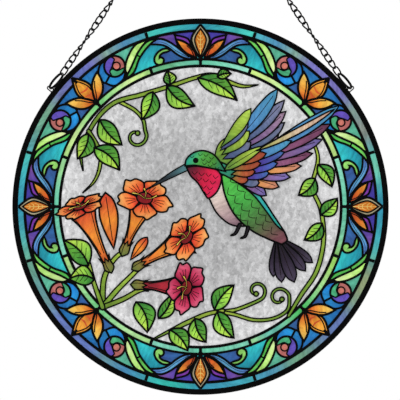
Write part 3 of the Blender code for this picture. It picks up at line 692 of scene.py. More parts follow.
def blend_stops(places, codes, share):
    """Screen colour between the stops, for each share."""
    stops = np.array([screen(code) for code in codes])
    return np.stack([np.interp(share, places, stops[:, k]) for k in range(3)], axis=1)


def bar_colours(spots, stops, patches, low_colour, low_amount):
    """Colours of a ring of bars, which repeat every quarter."""
    angle = np.degrees(np.arctan2(spots[:, 0], spots[:, 1]))
    folded = np.abs((angle + 45) % 90 - 45)
    colours = blend_stops([s[0] for s in stops], [s[1] for s in stops], folded)
    low = low_amount * (1 - np.cos(np.radians(angle))) / 2
    colours = colours * (1 - low[:, None]) + screen(low_colour) * low[:, None]
    for middle, code, wide in patches:
        away = (angle - middle + 180) % 360 - 180
        share = .8 * np.exp(-(away / wide) ** 2)[:, None]
        colours = colours * (1 - share) + screen(code) * share
    return colours


def cell_colours(shape, spots):
    """Linear colours of one pane at its points."""
    if shape["kind"] in BARS:
        colours = bar_colours(spots, *BARS[shape["kind"]])
    else:
        codes = PALETTE[shape["kind"]].split()
        if shape["axis"] is None:
            reach = np.linalg.norm(spots, axis=1)
            share = (reach - R_BAND_IN) / (R_BAND_OUT - R_BAND_IN)
        else:
            root, tip = np.array(shape["axis"], float)
            share = (spots - root) @ (tip - root) / ((tip - root) @ (tip - root))
        colours = blend_stops(np.linspace(0, 1, len(codes)), codes, np.clip(share, 0, 1))
    return to_linear(np.clip(colours, 0, 1))


print("palette:", len(PALETTE) + len(BARS), "kinds of pane")

# %% [markdown]
# ## From the sketch to flat cells
# Lines cross, end in each other and hide each other, so the panes can't be cut out one by one. A
# constrained triangulation takes every outline at once and adds the crossings by itself. Each triangle
# then asks which pane is the last one painted over its middle. No edit-mode tool does this.

# %% Tools for the flat drawing
def distance(spots, points, closed):
    """Distance of each spot to a line through the points."""
    starts = points if closed else points[:-1]
    ends = np.roll(points, -1, axis=0) if closed else points[1:]
    best = np.full(len(spots), 1e9)
    for a, b in zip(starts, ends):
        along = b - a
        share = np.clip((spots - a) @ along / max(along @ along, 1e-12), 0, 1)
        best = np.minimum(best, np.linalg.norm(spots - a - share[:, None] * along, axis=1))
    return best


def inside(spots, points):
    crossed = np.zeros(len(spots), bool)
    for a, b in zip(points, np.roll(points, -1, axis=0)):
        cuts = (a[1] > spots[:, 1]) != (b[1] > spots[:, 1])
        rise = b[1] - a[1] if b[1] != a[1] else 1e-12
        crossed ^= cuts & (spots[:, 0] < (b[0] - a[0]) * (spots[:, 1] - a[1]) / rise + a[0])
    return crossed


def simplified(points, closed, allowed):
    """Drops the points that the line passes within the allowed distance without them."""
    n = len(points)
    if n < 5:
        return points
    far = int(np.argmax(np.linalg.norm(points - points[0], axis=1))) if closed else n - 1
    keep = {0, far}
    todo = [(0, far), (far, n)] if closed else [(0, far)]
    while todo:
        a, b = todo.pop()
        if b - a < 2:
            continue
        away = distance(points[a + 1:b], np.array([points[a], points[b % n]]), False)
        worst = int(np.argmax(away))
        if away[worst] > allowed:
            keep.add(a + 1 + worst)
            todo += [(a, a + 1 + worst), (a + 1 + worst, b)]
    return points[sorted(keep)]


def near_shape(spots, shape, beyond):
    low = shape["points"].min(axis=0) - beyond
    high = shape["points"].max(axis=0) + beyond
    return np.flatnonzero(((spots > low) & (spots < high)).all(axis=1))


def planar(loops, spots=()):
    """Triangles between loops of points, given as (points, closed), with loose spots added."""
    points = [Vector(p) for p in spots]
    edges = []
    for loop, closed in loops:
        first = len(points)
        points.extend(Vector(p) for p in loop)
        count = len(loop)
        edges.extend((first + i, first + (i + 1) % count) for i in range(count if closed else count - 1))
    made = delaunay_2d_cdt(points, edges, [], 0, 1e-4, False)
    return np.array([tuple(p) for p in made[0]]), np.array([tuple(f) for f in made[2]])


def nearest_to(points):
    """A function that gives the distance from a spot to the nearest of the points."""
    found = kdtree.KDTree(len(points))
    for i, point in enumerate(points):
        found.insert((point[0], 0, point[1]), i)
    found.balance()
    return lambda spot: found.find((spot[0], 0, spot[1]))[2]


SKETCH_ERROR = 0.04
for shape in sketch:
    shape["points"] = simplified(shape["points"], shape["closed"], SKETCH_ERROR)
print("simplified sketch:", sum(len(s["points"]) for s in sketch), "points")

# %% [markdown]
# ## The glass
# The panel is one disc of textured glass, 3 mm thick, and its colours are cells of that disc. A flat
# sheet of cells is made at the back face and extruded to the front, so each colour goes right through
# and shows from behind as well. Three attributes are kept for the material: the tint, a number that
# differs from cell to cell, and the distance to the nearest line, which sets painted shade beside the lines.

# %% Cells of the glass
CELL_SPACING = 2.3
KEEP_OFF_LINES = .8
KEEP_OFF_EDGE = 1.2
rng = np.random.default_rng(7)
panes = [i for i, shape in enumerate(sketch) if shape["fill"]]
loops = [(sketch[i]["points"], True) for i in panes if not sketch[i]["ring"] or i != panes[0]]
turns = np.linspace(0, 2 * math.pi, 288, endpoint=False)
loops.append((np.c_[np.sin(turns), np.cos(turns)] * R_GLASS, True))
for quarter in range(4):
    for angles, ends in (((-OUTER_TIE, OUTER_TIE, 45), (R_OUTER_LINE, R_GLASS)),
                         ((-INNER_TIE, 0, INNER_TIE, 45), (R_INNER_BARS, R_INNER_LINE))):
        for angle in angles:
            loops.append(([at_clock(90 * quarter + angle, r) for r in ends], False))
rows = np.arange(-R_GLASS, R_GLASS, CELL_SPACING * .866)
grid = np.array([(x + CELL_SPACING / 2 * (k % 2), z) for k, z in enumerate(rows)
                 for x in np.arange(-R_GLASS, R_GLASS, CELL_SPACING)])
grid = grid[np.linalg.norm(grid, axis=1) < R_GLASS - KEEP_OFF_EDGE]
to_lines = nearest_to([point for loop, _ in loops for point in loop])
flat, triangles = planar(loops, [spot for spot in grid if to_lines(spot) > KEEP_OFF_LINES])
middles = flat[triangles].mean(axis=1)
cell = np.zeros(len(triangles), int)
for i in panes:
    close = near_shape(middles, sketch[i], .1)
    cell[close[inside(middles[close], sketch[i]["points"])]] = i
print("glass sheet:", len(flat), "points,", len(triangles), "triangles,", len(set(cell)), "cells")

# %% Bars are cells of their own, and every point learns how far its cell's edge is
clock = np.degrees(np.arctan2(middles[:, 0], middles[:, 1])) % 360
bar = np.zeros(len(triangles), int)
for kind, ties in (("outer_bars", (OUTER_TIE, 45, 90 - OUTER_TIE)),
                   ("inner_bars", (0, INNER_TIE, 45, 90 - INNER_TIE))):
    of_kind = np.array([sketch[i]["kind"] == kind for i in cell])
    cuts = sorted(90 * quarter + tie for quarter in range(4) for tie in ties)
    bar[of_kind] = np.digitize(clock[of_kind], cuts) % len(cuts)
MOST_BARS = 32
region = cell * MOST_BARS + bar
sides = np.sort(np.concatenate([triangles[:, [0, 1]], triangles[:, [1, 2]], triangles[:, [2, 0]]]), axis=1)
owner = np.tile(region, 3)
order = np.lexsort((sides[:, 1], sides[:, 0]))
sides = sides[order]
owner = owner[order]
twins = (sides[1:] == sides[:-1]).all(axis=1) & (owner[1:] != owner[:-1])
cut_edges = flat[sides[1:][twins]]
steps = np.linspace(0, 1, 5)[:, None, None]
to_border = nearest_to((cut_edges[:, 0] * (1 - steps) + cut_edges[:, 1] * steps).reshape(-1, 2))
edge_far = np.array([to_border(spot) for spot in flat])

tint = np.ones((len(triangles), 3, 4))
number = np.zeros(len(triangles))
for key in sorted(set(region)):
    mine = np.flatnonzero(region == key)
    colours = cell_colours(sketch[key // MOST_BARS], flat[triangles[mine]].reshape(-1, 2))
    lift = 1 + rng.uniform(-.08, .08) + rng.uniform(-.025, .025, 3)
    tint[mine, :, :3] = np.clip(colours * lift, .001, 1).reshape(-1, 3, 3)
    number[mine] = rng.uniform(0, 1)
print("cell borders:", len(cut_edges), "edges; farthest point from one:", round(edge_far.max(), 1), "mm")

# %% Helpers for objects and edit mode
def add_object(name, data):
    made = bpy.data.objects.new(name, data)
    bpy.context.scene.collection.objects.link(made)
    return made


def select_only(*pieces):
    """Selects these pieces alone; the first one is the active one."""
    bpy.ops.object.select_all(action="DESELECT")
    for piece in pieces:
        piece.select_set(True)
    bpy.context.view_layer.objects.active = pieces[0]


def edit_all(piece):
    """Selects one piece alone and opens it in edit mode with everything selected."""
    select_only(piece)
    bpy.ops.object.mode_set(mode="EDIT")
    bpy.ops.mesh.select_all(action="SELECT")


# %% The sheet becomes a slab
mesh = bpy.data.meshes.new("glass_panel")
mesh.from_pydata([on_panel(x, GLASS_BACK, z) for x, z in flat], [], triangles.tolist())
mesh.attributes.new("tint", "FLOAT_COLOR", "CORNER").data.foreach_set("color", tint.ravel())
mesh.attributes.new("cell", "FLOAT", "CORNER").data.foreach_set("value", np.repeat(number, 3))
# The distance to a cell's border drives painted shade that darkens each pane next to its lines.
mesh.attributes.new("edge", "FLOAT", "POINT").data.foreach_set("value", edge_far)
mesh.polygons.foreach_set("material_index", [int(sketch[i]["kind"] == "clear") for i in cell])
glass = add_object("glass_panel", mesh)
edit_all(glass)
bpy.ops.mesh.extrude_region_move(TRANSFORM_OT_translate={"value": (0, GLASS_FRONT - GLASS_BACK, 0)})
bpy.ops.object.mode_set(mode="OBJECT")
bpy.ops.object.shade_flat()
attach(glass, "root")
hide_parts("glass_disc")
print("glass slab:", len(glass.data.polygons), "faces")

# %% [markdown]
# ## The raised black lines
# The lines are beads of black relief paste: round on top, higher where they are wider, and flowing
# into each other at the crossings. Each line gives two pairs of edges, its foot and its shoulder. A
# point's height is read from the nearest line that nothing painted later covers.

# %% Heights and edges of the lines
BEAD_LIMIT = 145.4
BEAD_TOP = 1.0
BEAD_EDGE = 0.06
PAINT_TOP = 0.13
SHOULDER = 0.55


def beside(points, half, closed):
    """The two edges of a line."""
    ahead = np.roll(points, -1, axis=0) - points
    back = points - np.roll(points, 1, axis=0)
    if not closed:
        ahead[-1] = back[-1]
        back[0] = ahead[0]
    ahead = ahead / np.maximum(np.linalg.norm(ahead, axis=1), 1e-9)[:, None]
    back = back / np.maximum(np.linalg.norm(back, axis=1), 1e-9)[:, None]
    way = ahead + back
    length = np.linalg.norm(way, axis=1)
    way = np.where(length[:, None] > 1e-3, way / np.maximum(length, 1e-3)[:, None], ahead)
    out = np.c_[-way[:, 1], way[:, 0]]
    reach = half / np.clip(np.sum(way * ahead, axis=1), .55, 1.0)
    return points + out * reach[:, None], points - out * reach[:, None]


def bead_loops(shape, share):
    """Closed loops at a share of the half width: two for a closed line, one with round ends for an open one."""
    points = shape["points"]
    half = shape["half"] * share
    left, right = beside(points, half, shape["closed"])
    if shape["closed"]:
        return [(left, True), (right, True)]
    caps = []
    for end, other in ((-1, -2), (0, 1)):
        way = points[end] - points[other]
        way = way / max(np.linalg.norm(way), 1e-9)
        side = np.array([-way[1], way[0]])
        caps.append([points[end] + half * (way * math.sin(a) + side * math.cos(a))
                     for a in np.linspace(0, math.pi, 6)[1:-1]])
    return [(np.concatenate([left, caps[0], right[::-1], caps[1]]), True)]


def bead_height(away, shape):
    if shape["thin"]:
        return np.full(len(away), PAINT_TOP)
    top = min(.6 * shape["half"], BEAD_TOP)
    return top * np.sqrt(np.clip(1 - (away / shape["half"]) ** 2, 0, 1))


bead_lines = [shape for shape in sketch if shape["half"] > 0]
loops = [(np.c_[np.sin(turns), np.cos(turns)] * BEAD_LIMIT, True)]
for shape in bead_lines:
    for share in (1.0,) if shape["thin"] else (1.0, SHOULDER):
        loops += bead_loops(shape, share)
flat, triangles = planar(loops)
print("line drawing:", len(flat), "points,", len(triangles), "triangles")

# %% What is raised, and how high
middles = flat[triangles].mean(axis=1)
height = np.zeros(len(flat))
layer = np.zeros(len(triangles), int)
for shape in sketch:
    close = near_shape(flat, shape, shape["half"] + .1)
    away = distance(flat[close], shape["points"], shape["closed"])
    if shape["fill"]:
        covered = inside(flat[close], shape["points"]) & (away > 1e-3)
        height[close[covered]] = 0
    if shape["half"] > 0:
        on = away < shape["half"] * 1.02
        height[close[on]] = np.maximum(height[close[on]], bead_height(away[on], shape))
    close = near_shape(middles, shape, shape["half"] + .1)
    if shape["fill"]:
        layer[close[inside(middles[close], shape["points"])]] = 0
    if shape["half"] > 0:
        on = close[distance(middles[close], shape["points"], shape["closed"]) < shape["half"]]
        layer[on] = np.maximum(layer[on], 1) if shape["thin"] else 2
keep = (layer > 0) & (np.linalg.norm(middles, axis=1) < BEAD_LIMIT)
triangles = triangles[keep]
layer = layer[keep]
print("raised:", len(triangles), "triangles, highest", round(height.max(), 2), "mm")

# %% A closed solid from the raised triangles
directed = {}
for k, (a, b, c) in enumerate(triangles.tolist()):
    directed[(a, b)] = k
    directed[(b, c)] = k
    directed[(c, a)] = k
rim_edges = [(a, b, k) for (a, b), k in directed.items() if (b, a) not in directed]
used = sorted({a for a, b, k in rim_edges} | {b for a, b, k in rim_edges})
back_index = {v: i for i, v in enumerate(used)}
made = delaunay_2d_cdt([Vector(flat[v]) for v in used],
                       [(back_index[a], back_index[b]) for a, b, k in rim_edges], [], 0, 1e-7, True)
back_points = np.array([tuple(p) for p in made[0]])
back_triangles = [tuple(f) for f in made[2]]
walls = {frozenset(made[1][i]) for i, origin in enumerate(made[4]) if origin}
by_edge = {}
for k, (a, b, c) in enumerate(back_triangles):
    for pair in ((a, b), (b, c), (c, a)):
        by_edge.setdefault(frozenset(pair), []).append(k)
within = [None] * len(back_triangles)
todo = []
for pair, owners in by_edge.items():
    if len(owners) == 1 and within[owners[0]] is None:
        within[owners[0]] = pair in walls
        todo.append(owners[0])
while todo:
    here = todo.pop()
    a, b, c = back_triangles[here]
    for pair in ((a, b), (b, c), (c, a)):
        for other in by_edge[frozenset(pair)]:
            if within[other] is None:
                within[other] = within[here] != (frozenset(pair) in walls)
                todo.append(other)
back_triangles = [f for k, f in enumerate(back_triangles) if within[k]]
print("back of the lines:", len(back_triangles), "triangles,", len(rim_edges), "edge walls")

# %% The line work as one piece
GLASS_HALF = 1.5
BEAD_BACK = -1.42
front = [on_panel(x, -(GLASS_HALF + max(h, BEAD_EDGE)) * MM, z) for (x, z), h in zip(flat, height)]
rear = [on_panel(x, BEAD_BACK * MM, z) for x, z in back_points]
first_rear = len(front)
rear_of = {tuple(np.round(p, 5)): first_rear + i for i, p in enumerate(back_points)}
foot = {v: rear_of.get(tuple(np.round(flat[v], 5))) for v in used}
faces = [list(f) for f in triangles]
slots = [0 if kind == 2 else 1 for kind in layer]
for a, b, k in rim_edges:
    if foot[a] is not None and foot[b] is not None:
        faces.append([a, foot[a], foot[b], b])
        slots.append(0 if layer[k] == 2 else 1)
for a, b, c in back_triangles:
    faces.append([first_rear + c, first_rear + b, first_rear + a])
    slots.append(0)
mesh = bpy.data.meshes.new("leadwork")
mesh.from_pydata(front + rear, [], faces)
mesh.polygons.foreach_set("material_index", slots)
leadwork = add_object("leadwork", mesh)
edit_all(leadwork)
bpy.ops.mesh.delete_loose()
bpy.ops.object.mode_set(mode="OBJECT")
bpy.ops.object.shade_smooth_by_angle(angle=math.radians(75))
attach(leadwork, "root")
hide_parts("leading")
missing = sum(f is None for f in foot.values())
print("line work:", sum(len(f) - 2 for f in faces), "triangles;", missing, "feet without a match")

# %% [markdown]
# ## The rim
# The rim is a black metal channel, bent round the disc so that its two lips grip the glass. A channel
# is a profile turned once round the panel, so a circle of eight points is laid out as that profile, its
# corners are rounded, and Spin turns it.

# %% Helpers for the hardware
def close_up(smooth):
    """Merges doubles, points the faces outwards and leaves edit mode."""
    bpy.ops.mesh.select_all(action="SELECT")
    bpy.ops.mesh.remove_doubles(threshold=1e-6)
    bpy.ops.mesh.normals_make_consistent(inside=False)
    bpy.ops.object.mode_set(mode="OBJECT")
    bpy.ops.object.shade_smooth_by_angle(angle=math.radians(smooth))


def take_place(piece, matrix):
    """Puts a piece's place into its mesh, so that the object itself stays at the origin."""
    piece.data.transform(matrix)
    piece.matrix_world = Matrix.Identity(4)


def dress(piece, name, node):
    piece.name = name
    piece.data.name = name
    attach(piece, "root")
    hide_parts(node)


# %% Rim
RIM_STEPS = 192
R_LIP = 145.7
R_WEB = 148.0
Y_RIM = 3.0
Y_GROOVE = 1.8
CORNER = 0.00035
profile = [(RIM_OUT / MM, -Y_RIM), (RIM_OUT / MM, Y_RIM), (R_LIP, Y_RIM), (R_LIP, Y_GROOVE),
           (R_WEB, Y_GROOVE), (R_WEB, -Y_GROOVE), (R_LIP, -Y_GROOVE), (R_LIP, -Y_RIM)]
bpy.ops.object.select_all(action="DESELECT")
bpy.ops.mesh.primitive_circle_add(vertices=len(profile), radius=0.01, fill_type="NOTHING")
rim = bpy.context.object
for vertex, (radius, depth) in zip(rim.data.vertices, profile):
    vertex.co = on_panel(0, depth * MM, radius)
edit_all(rim)
bpy.ops.mesh.bevel(offset=CORNER, segments=3, affect="VERTICES")
bpy.ops.mesh.select_all(action="SELECT")
bpy.ops.mesh.spin(steps=RIM_STEPS, angle=2 * math.pi, center=(0, 0, -DROP), axis=(0, 1, 0))
close_up(40)
dress(rim, "rim", "rim_frame")
print("rim:", len(rim.data.polygons), "faces")

# %% [markdown]
# ## Staples and split rings
# Two small wire staples sit on the rim's edge, and a split ring, like a key ring, runs through each.
# The staple is half a torus whose ends are extruded into legs, with a flat blob of solder at each foot.
# The split ring is one wire wound nearly twice, flat except where it climbs from one turn to the next.
# Both take their place from the model.

# %% Where the rings are
RING_RADIUS = 0.0084
RING_WIRE = 0.0010
RING_TILT = math.radians(72)
STAPLE_HOLE = 0.0018
STAPLE_WIRE = 0.0009
STAPLE_LEG = 0.0036
STAPLE_HALF = (STAPLE_HOLE + STAPLE_WIRE) / 2
SOLDER_RADIUS = 0.00085
SOLDER_SHAPE = (1.15, 1.15, .55)
WIRE_GAP = 0.0003
Y_AXIS = (0.0, 1.0, 0.0)
MIDDLE = np.array([0, 0, -DROP])


def ring_place(side):
    """Centre of a split ring, its direction along the rim and its tilted rearward direction."""
    low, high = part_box("split_ring_right" if side > 0 else "split_ring_left")
    centre = (np.array(low) + np.array(high)) / 2
    out = np.array([centre[0], 0, centre[2] + DROP])
    out /= np.linalg.norm(out)
    along = np.cross(out, (0.0, side, 0.0))
    along *= 1 if along[2] > 0 else -1
    return centre, along, np.array(Y_AXIS) * math.sin(RING_TILT) + out * math.cos(RING_TILT)


def basis(x, y, z, place):
    """Matrix that takes the local axes to three directions at a place."""
    matrix = Matrix((tuple(x), tuple(y), tuple(z))).transposed().to_4x4()
    matrix.translation = Vector(place)
    return matrix


# %% Staples
for side, name in ((-1, "left"), (1, "right")):
    centre, along, rear = ring_place(side)
    up = centre - along * (RING_RADIUS - RING_WIRE - WIRE_GAP + STAPLE_HOLE / 2) - MIDDLE
    up /= np.linalg.norm(up)
    bpy.ops.object.select_all(action="DESELECT")
    bpy.ops.mesh.primitive_torus_add(major_radius=STAPLE_HALF, minor_radius=STAPLE_WIRE / 2,
                                     major_segments=32, minor_segments=12, rotation=(math.radians(90), 0, 0))
    staple = bpy.context.object
    take_place(staple, staple.matrix_world.copy())
    edit_all(staple)
    bpy.ops.mesh.bisect(plane_co=(0, 0, 0), plane_no=(0, 0, 1), clear_inner=True)
    bpy.ops.mesh.select_all(action="DESELECT")
    bpy.ops.mesh.select_non_manifold()
    bpy.ops.mesh.extrude_region_move(TRANSFORM_OT_translate={"value": (0, 0, -STAPLE_LEG)})
    bpy.ops.mesh.edge_face_add()
    close_up(50)
    feet = []
    for reach in (-STAPLE_HALF, STAPLE_HALF):
        bpy.ops.object.select_all(action="DESELECT")
        bpy.ops.mesh.primitive_uv_sphere_add(segments=16, ring_count=8, radius=SOLDER_RADIUS,
                                             location=(reach, 0, -STAPLE_LEG + .00005))
        feet.append(bpy.context.object)
        feet[-1].scale = SOLDER_SHAPE
        bpy.ops.object.transform_apply(location=True, rotation=True, scale=True)
    select_only(staple, *feet)
    bpy.ops.object.join()
    bpy.ops.object.shade_smooth_by_angle(angle=math.radians(50))
    take_place(staple, basis(np.cross(Y_AXIS, up), Y_AXIS, up, MIDDLE + up * (RIM_OUT + STAPLE_LEG)))
    dress(staple, "staple_" + name, "hanging_eye_" + name)
print("staple faces:", len(staple.data.polygons))

# %% Split rings
WOUND = np.linspace(30, 690, 111)
CLIMB = (330, 390)
for side, name in ((-1, "left"), (1, "right")):
    centre, along, rear = ring_place(side)
    wound = bpy.data.curves.new("wound_wire", "CURVE")
    wound.dimensions = "3D"
    wound.bevel_depth = RING_WIRE / 2
    wound.bevel_resolution = 3
    wound.use_fill_caps = True
    strand = wound.splines.new("POLY")
    strand.points.add(len(WOUND) - 1)
    for point, turn in zip(strand.points, WOUND):
        rise = np.interp(turn, CLIMB, (-RING_WIRE / 2, RING_WIRE / 2))
        radius = RING_RADIUS - RING_WIRE / 2
        point.co = (radius * math.cos(math.radians(turn)), radius * math.sin(math.radians(turn)), rise, 1)
    split = add_object("wound_wire", wound)
    select_only(split)
    bpy.ops.object.convert(target="MESH")
    split = bpy.context.object
    edit_all(split)
    close_up(60)
    take_place(split, basis(along, rear, np.cross(along, rear), centre))
    dress(split, "split_ring_wire_" + name, "split_ring_" + name)
print("split ring faces:", len(split.data.polygons))

# %% [markdown]
# ## The chain
# A curb chain is made of oval links, each twisted by a quarter turn so that it lies flat along its
# neighbours. One link is a torus pulled long in edit mode and twisted by a Simple Deform modifier. It is
# copied along both runs, each copy a little further round, so the chain seems to turn as it hangs.

# %% One link
CHAIN_WIRE = 0.0013
LINK_LENGTH = 0.0085
LINK_WIDTH = 0.0056
LINK_FUSE = 0.0002
LINK_TWIST = math.radians(45)
TWIST_PER_LINK = math.radians(27)


def one_link(length, twist):
    bpy.ops.object.select_all(action="DESELECT")
    bpy.ops.mesh.primitive_torus_add(major_radius=(LINK_WIDTH - CHAIN_WIRE) / 2, minor_radius=CHAIN_WIRE / 2,
                                     major_segments=24, minor_segments=10)
    made = bpy.context.object
    for sign in (-1, 1):
        edit_all(made)
        bpy.ops.mesh.select_all(action="DESELECT")
        bpy.ops.object.mode_set(mode="OBJECT")
        for vertex in made.data.vertices:
            vertex.select = vertex.co.x * sign > 1e-6
        bpy.ops.object.mode_set(mode="EDIT")
        bpy.ops.transform.translate(value=(sign * (length - LINK_WIDTH) / 2, 0, 0))
        bpy.ops.object.mode_set(mode="OBJECT")
    if twist:
        bend = made.modifiers.new("twist", "SIMPLE_DEFORM")
        bend.deform_method = "TWIST"
        bend.deform_axis = "X"
        bend.angle = 2 * twist
        bpy.ops.object.modifier_apply(modifier=bend.name)
    bpy.ops.object.shade_smooth()
    return made


def copied(link, matrix):
    """A copy of the link with a mesh of its own, put in its place."""
    twin = add_object("link", link.data.copy())
    twin.data.transform(matrix)
    return twin


# %% Both runs, from the split rings to the middle link
middle = np.array([0.0, 0.0, -(LINK_WIDTH / 2 - CHAIN_WIRE)])
plain = one_link(LINK_LENGTH, 0)
links = [copied(plain, basis((1.0, 0, 0), (0, 0, 1.0), (0, -1.0, 0), middle))]
pitch = LINK_LENGTH - 2 * CHAIN_WIRE + LINK_FUSE
for side in (1, -1):
    centre, along, rear = ring_place(side)
    low = centre + along * (RING_RADIUS - RING_WIRE - WIRE_GAP - CHAIN_WIRE / 2)
    high = middle + np.array([side * (LINK_LENGTH / 2 - 1.5 * CHAIN_WIRE + LINK_FUSE), 0, 0])
    way = high - low
    span = np.linalg.norm(way)
    way = way / span
    count = round((span - LINK_LENGTH + CHAIN_WIRE) / pitch) + 1
    step = (span - (LINK_LENGTH - CHAIN_WIRE)) / (count - 1)
    length = LINK_LENGTH + step - pitch
    base = np.array(Y_AXIS)
    other = np.cross(way, base)
    held = rear - way * np.dot(rear, way)
    start = math.atan2(np.dot(held, other), np.dot(held, base)) - LINK_TWIST
    half_turns = round((start + TWIST_PER_LINK * (count - 1) + LINK_TWIST - math.pi / 2) / math.pi)
    turn_each = (math.pi / 2 + half_turns * math.pi - LINK_TWIST - start) / (count - 1)
    curb = one_link(length, LINK_TWIST)
    flat_link = one_link(length, 0)
    for i in range(count):
        turn = start + (turn_each * i if i else LINK_TWIST)
        face = base * math.cos(turn) + other * math.sin(turn)
        spot = low + way * ((length - CHAIN_WIRE) / 2 + step * i)
        links.append(copied(curb if i else flat_link, basis(way, np.cross(face, way), face, spot)))
    bpy.data.objects.remove(curb)
    bpy.data.objects.remove(flat_link)
bpy.data.objects.remove(plain)
select_only(*links)
bpy.ops.object.join()
chain = bpy.context.object
dress(chain, "chain_links", "chain")
print("chain:", len(links), "links,", len(chain.data.polygons), "faces")

# %% [markdown]
# ## Shared effects
# Two effects are used by more than one material, so each is a node group. One makes the cloudy, brushed
# look of art glass, turned a different way in every cell, and adds painted shade that darkens each pane
# next to its raised lines. Wear makes scuffs and a slight unevenness.

# %% Building blocks for nodes
def set_inputs(node, values):
    """Sets a node's inputs by name; an underscore stands for a space."""
    for name, value in values.items():
        node.inputs[name.replace("_", " ")].default_value = value


def add(tree, kind, option=None, **inputs):
    """A node of a kind, with one option, given as (name, value), and some of its inputs set."""
    made = tree.nodes.new("ShaderNode" + kind)
    if option:
        setattr(made, *option)
    set_inputs(made, inputs)
    return made


def join(tree, *pairs):
    for source, target in pairs:
        tree.links.new(source, target)


def maths(tree, operation, first, second):
    made = add(tree, "Math", ("operation", operation))
    for socket, value in zip(made.inputs, (first, second)):
        if isinstance(value, (int, float)):
            socket.default_value = value
        else:
            tree.links.new(value, socket)
    return made.outputs[0]


def spread(tree, value, low, high, to_low, to_high):
    """Maps a value from one range to another and holds it there."""
    made = add(tree, "MapRange", From_Min=low, From_Max=high, To_Min=to_low, To_Max=to_high)
    tree.links.new(value, made.inputs["Value"])
    return made.outputs["Result"]


def group(name, colours, numbers, outputs):
    """A node group with colour inputs, number inputs with their usual values, and outputs."""
    tree = bpy.data.node_groups.new(name, "ShaderNodeTree")
    for label in colours:
        tree.interface.new_socket(label, in_out="INPUT", socket_type="NodeSocketColor")
    for label, value in numbers.items():
        made = tree.interface.new_socket(label, in_out="INPUT", socket_type="NodeSocketFloat")
        made.default_value = value
    for label in outputs:
        kind = "NodeSocketColor" if label == "Color" else "NodeSocketFloat"
        tree.interface.new_socket(label, in_out="OUTPUT", socket_type=kind)
    return tree, tree.nodes.new("NodeGroupInput"), tree.nodes.new("NodeGroupOutput")


def material(name, **values):
    made = bpy.data.materials.new(name)
    made.use_nodes = True
    shader = made.node_tree.nodes["Principled BSDF"]
    set_inputs(shader, values)
    return made, made.node_tree, shader


def bump_from(tree, height, strength, far, shader):
    made = add(tree, "Bump", Strength=strength, Distance=far)
    join(tree, (height, made.inputs["Height"]), (made.outputs["Normal"], shader.inputs["Normal"]))


# %% Node group: streaky glass, with painted shade beside the lines
tree, given, result = group("streaks_and_line_shade", ("Tint",), {"Cell": 0.0, "Edge": 3.0, "Dark": 0.72, "Light": 1.22},
                            ("Color", "Height"))
where = add(tree, "TexCoord").outputs["Object"]
turned = add(tree, "VectorRotate", ("rotation_type", "Y_AXIS"))
stretched = add(tree, "Mapping", Scale=(420, 420, 110))
clouds = add(tree, "TexNoise", Scale=1.0, Detail=4.0, Roughness=0.6, Distortion=0.4)
speckle = add(tree, "TexNoise", Scale=1500.0, Detail=2.0)
join(tree, (where, turned.inputs["Vector"]),
     (maths(tree, "MULTIPLY", given.outputs["Cell"], 6.283), turned.inputs["Angle"]),
     (turned.outputs["Vector"], stretched.inputs["Vector"]),
     (stretched.outputs["Vector"], clouds.inputs["Vector"]), (where, speckle.inputs["Vector"]))
cloud = add(tree, "MapRange", From_Min=0.3, From_Max=0.7)
join(tree, (clouds.outputs[0], cloud.inputs["Value"]), (given.outputs["Dark"], cloud.inputs["To Min"]),
     (given.outputs["Light"], cloud.inputs["To Max"]))
value = maths(tree, "MULTIPLY", cloud.outputs["Result"], spread(tree, speckle.outputs[0], .3, .7, .96, 1.04))
# Painted shade: a pane darkens to 0.82 of its colour next to a line, fading out 2.4 mm away.
value = maths(tree, "MULTIPLY", value, spread(tree, given.outputs["Edge"], .8, 2.4, .82, 1.0))
tinted = add(tree, "VectorMath", ("operation", "SCALE"))
join(tree, (given.outputs["Tint"], tinted.inputs[0]), (value, tinted.inputs["Scale"]),
     (tinted.outputs[0], result.inputs["Color"]), (clouds.outputs[0], result.inputs["Height"]))
streaks_and_line_shade = tree

# %% Node group: wear on metal
tree, given, result = group("wear", ("Base", "Worn"), {"Amount": 0.3, "Size": 900.0},
                            ("Color", "Roughness", "Height"))
where = add(tree, "TexCoord").outputs["Object"]
scuffs = add(tree, "TexNoise", Detail=5.0, Roughness=0.65)
join(tree, (where, scuffs.inputs["Vector"]), (given.outputs["Size"], scuffs.inputs["Scale"]))
mask = maths(tree, "MULTIPLY", spread(tree, scuffs.outputs[0], .52, .72, 0, 1), given.outputs["Amount"])
mixed = add(tree, "Mix", ("data_type", "RGBA"))
join(tree, (mask, mixed.inputs[0]), (given.outputs["Base"], mixed.inputs[6]),
     (given.outputs["Worn"], mixed.inputs[7]), (mixed.outputs[2], result.inputs["Color"]),
     (spread(tree, scuffs.outputs[0], .3, .7, .34, .52), result.inputs["Roughness"]),
     (scuffs.outputs[0], result.inputs["Height"]))
wear = tree
print("node groups:", [g.name for g in bpy.data.node_groups])

# %% [markdown]
# ## The two glasses
# Coloured and clear glass are the same disc, so both share the streaky texture and the painted shade beside the
# lines.
# The clear ground has a hammered surface, and painted light and shade in its colour: blobs and facets of light
# and dark, and a brighter outer edge. Transmission and metallic stay plain values.

# %% Stained glass
def attribute(tree, name, output):
    return add(tree, "Attribute", ("attribute_name", name)).outputs[output]


def glass_material(name, dark, light, roughness, strength):
    made, tree, shader = material(name, Transmission_Weight=1.0, Roughness=roughness, IOR=1.45,
                                  Specular_IOR_Level=0.25, Metallic=0.0)
    shared = add(tree, "Group", ("node_tree", streaks_and_line_shade), Dark=dark, Light=light)
    join(tree, (attribute(tree, "cell", "Fac"), shared.inputs["Cell"]),
         (attribute(tree, "edge", "Fac"), shared.inputs["Edge"]),
         (shared.outputs["Color"], shader.inputs["Base Color"]))
    bump_from(tree, shared.outputs["Height"], strength, 0.0003, shader)
    return made, tree, shared.inputs["Tint"]


stained, tree, tint_input = glass_material("stained_glass", .62, 1.36, .08, .35)
join(tree, (attribute(tree, "tint", "Color"), tint_input))
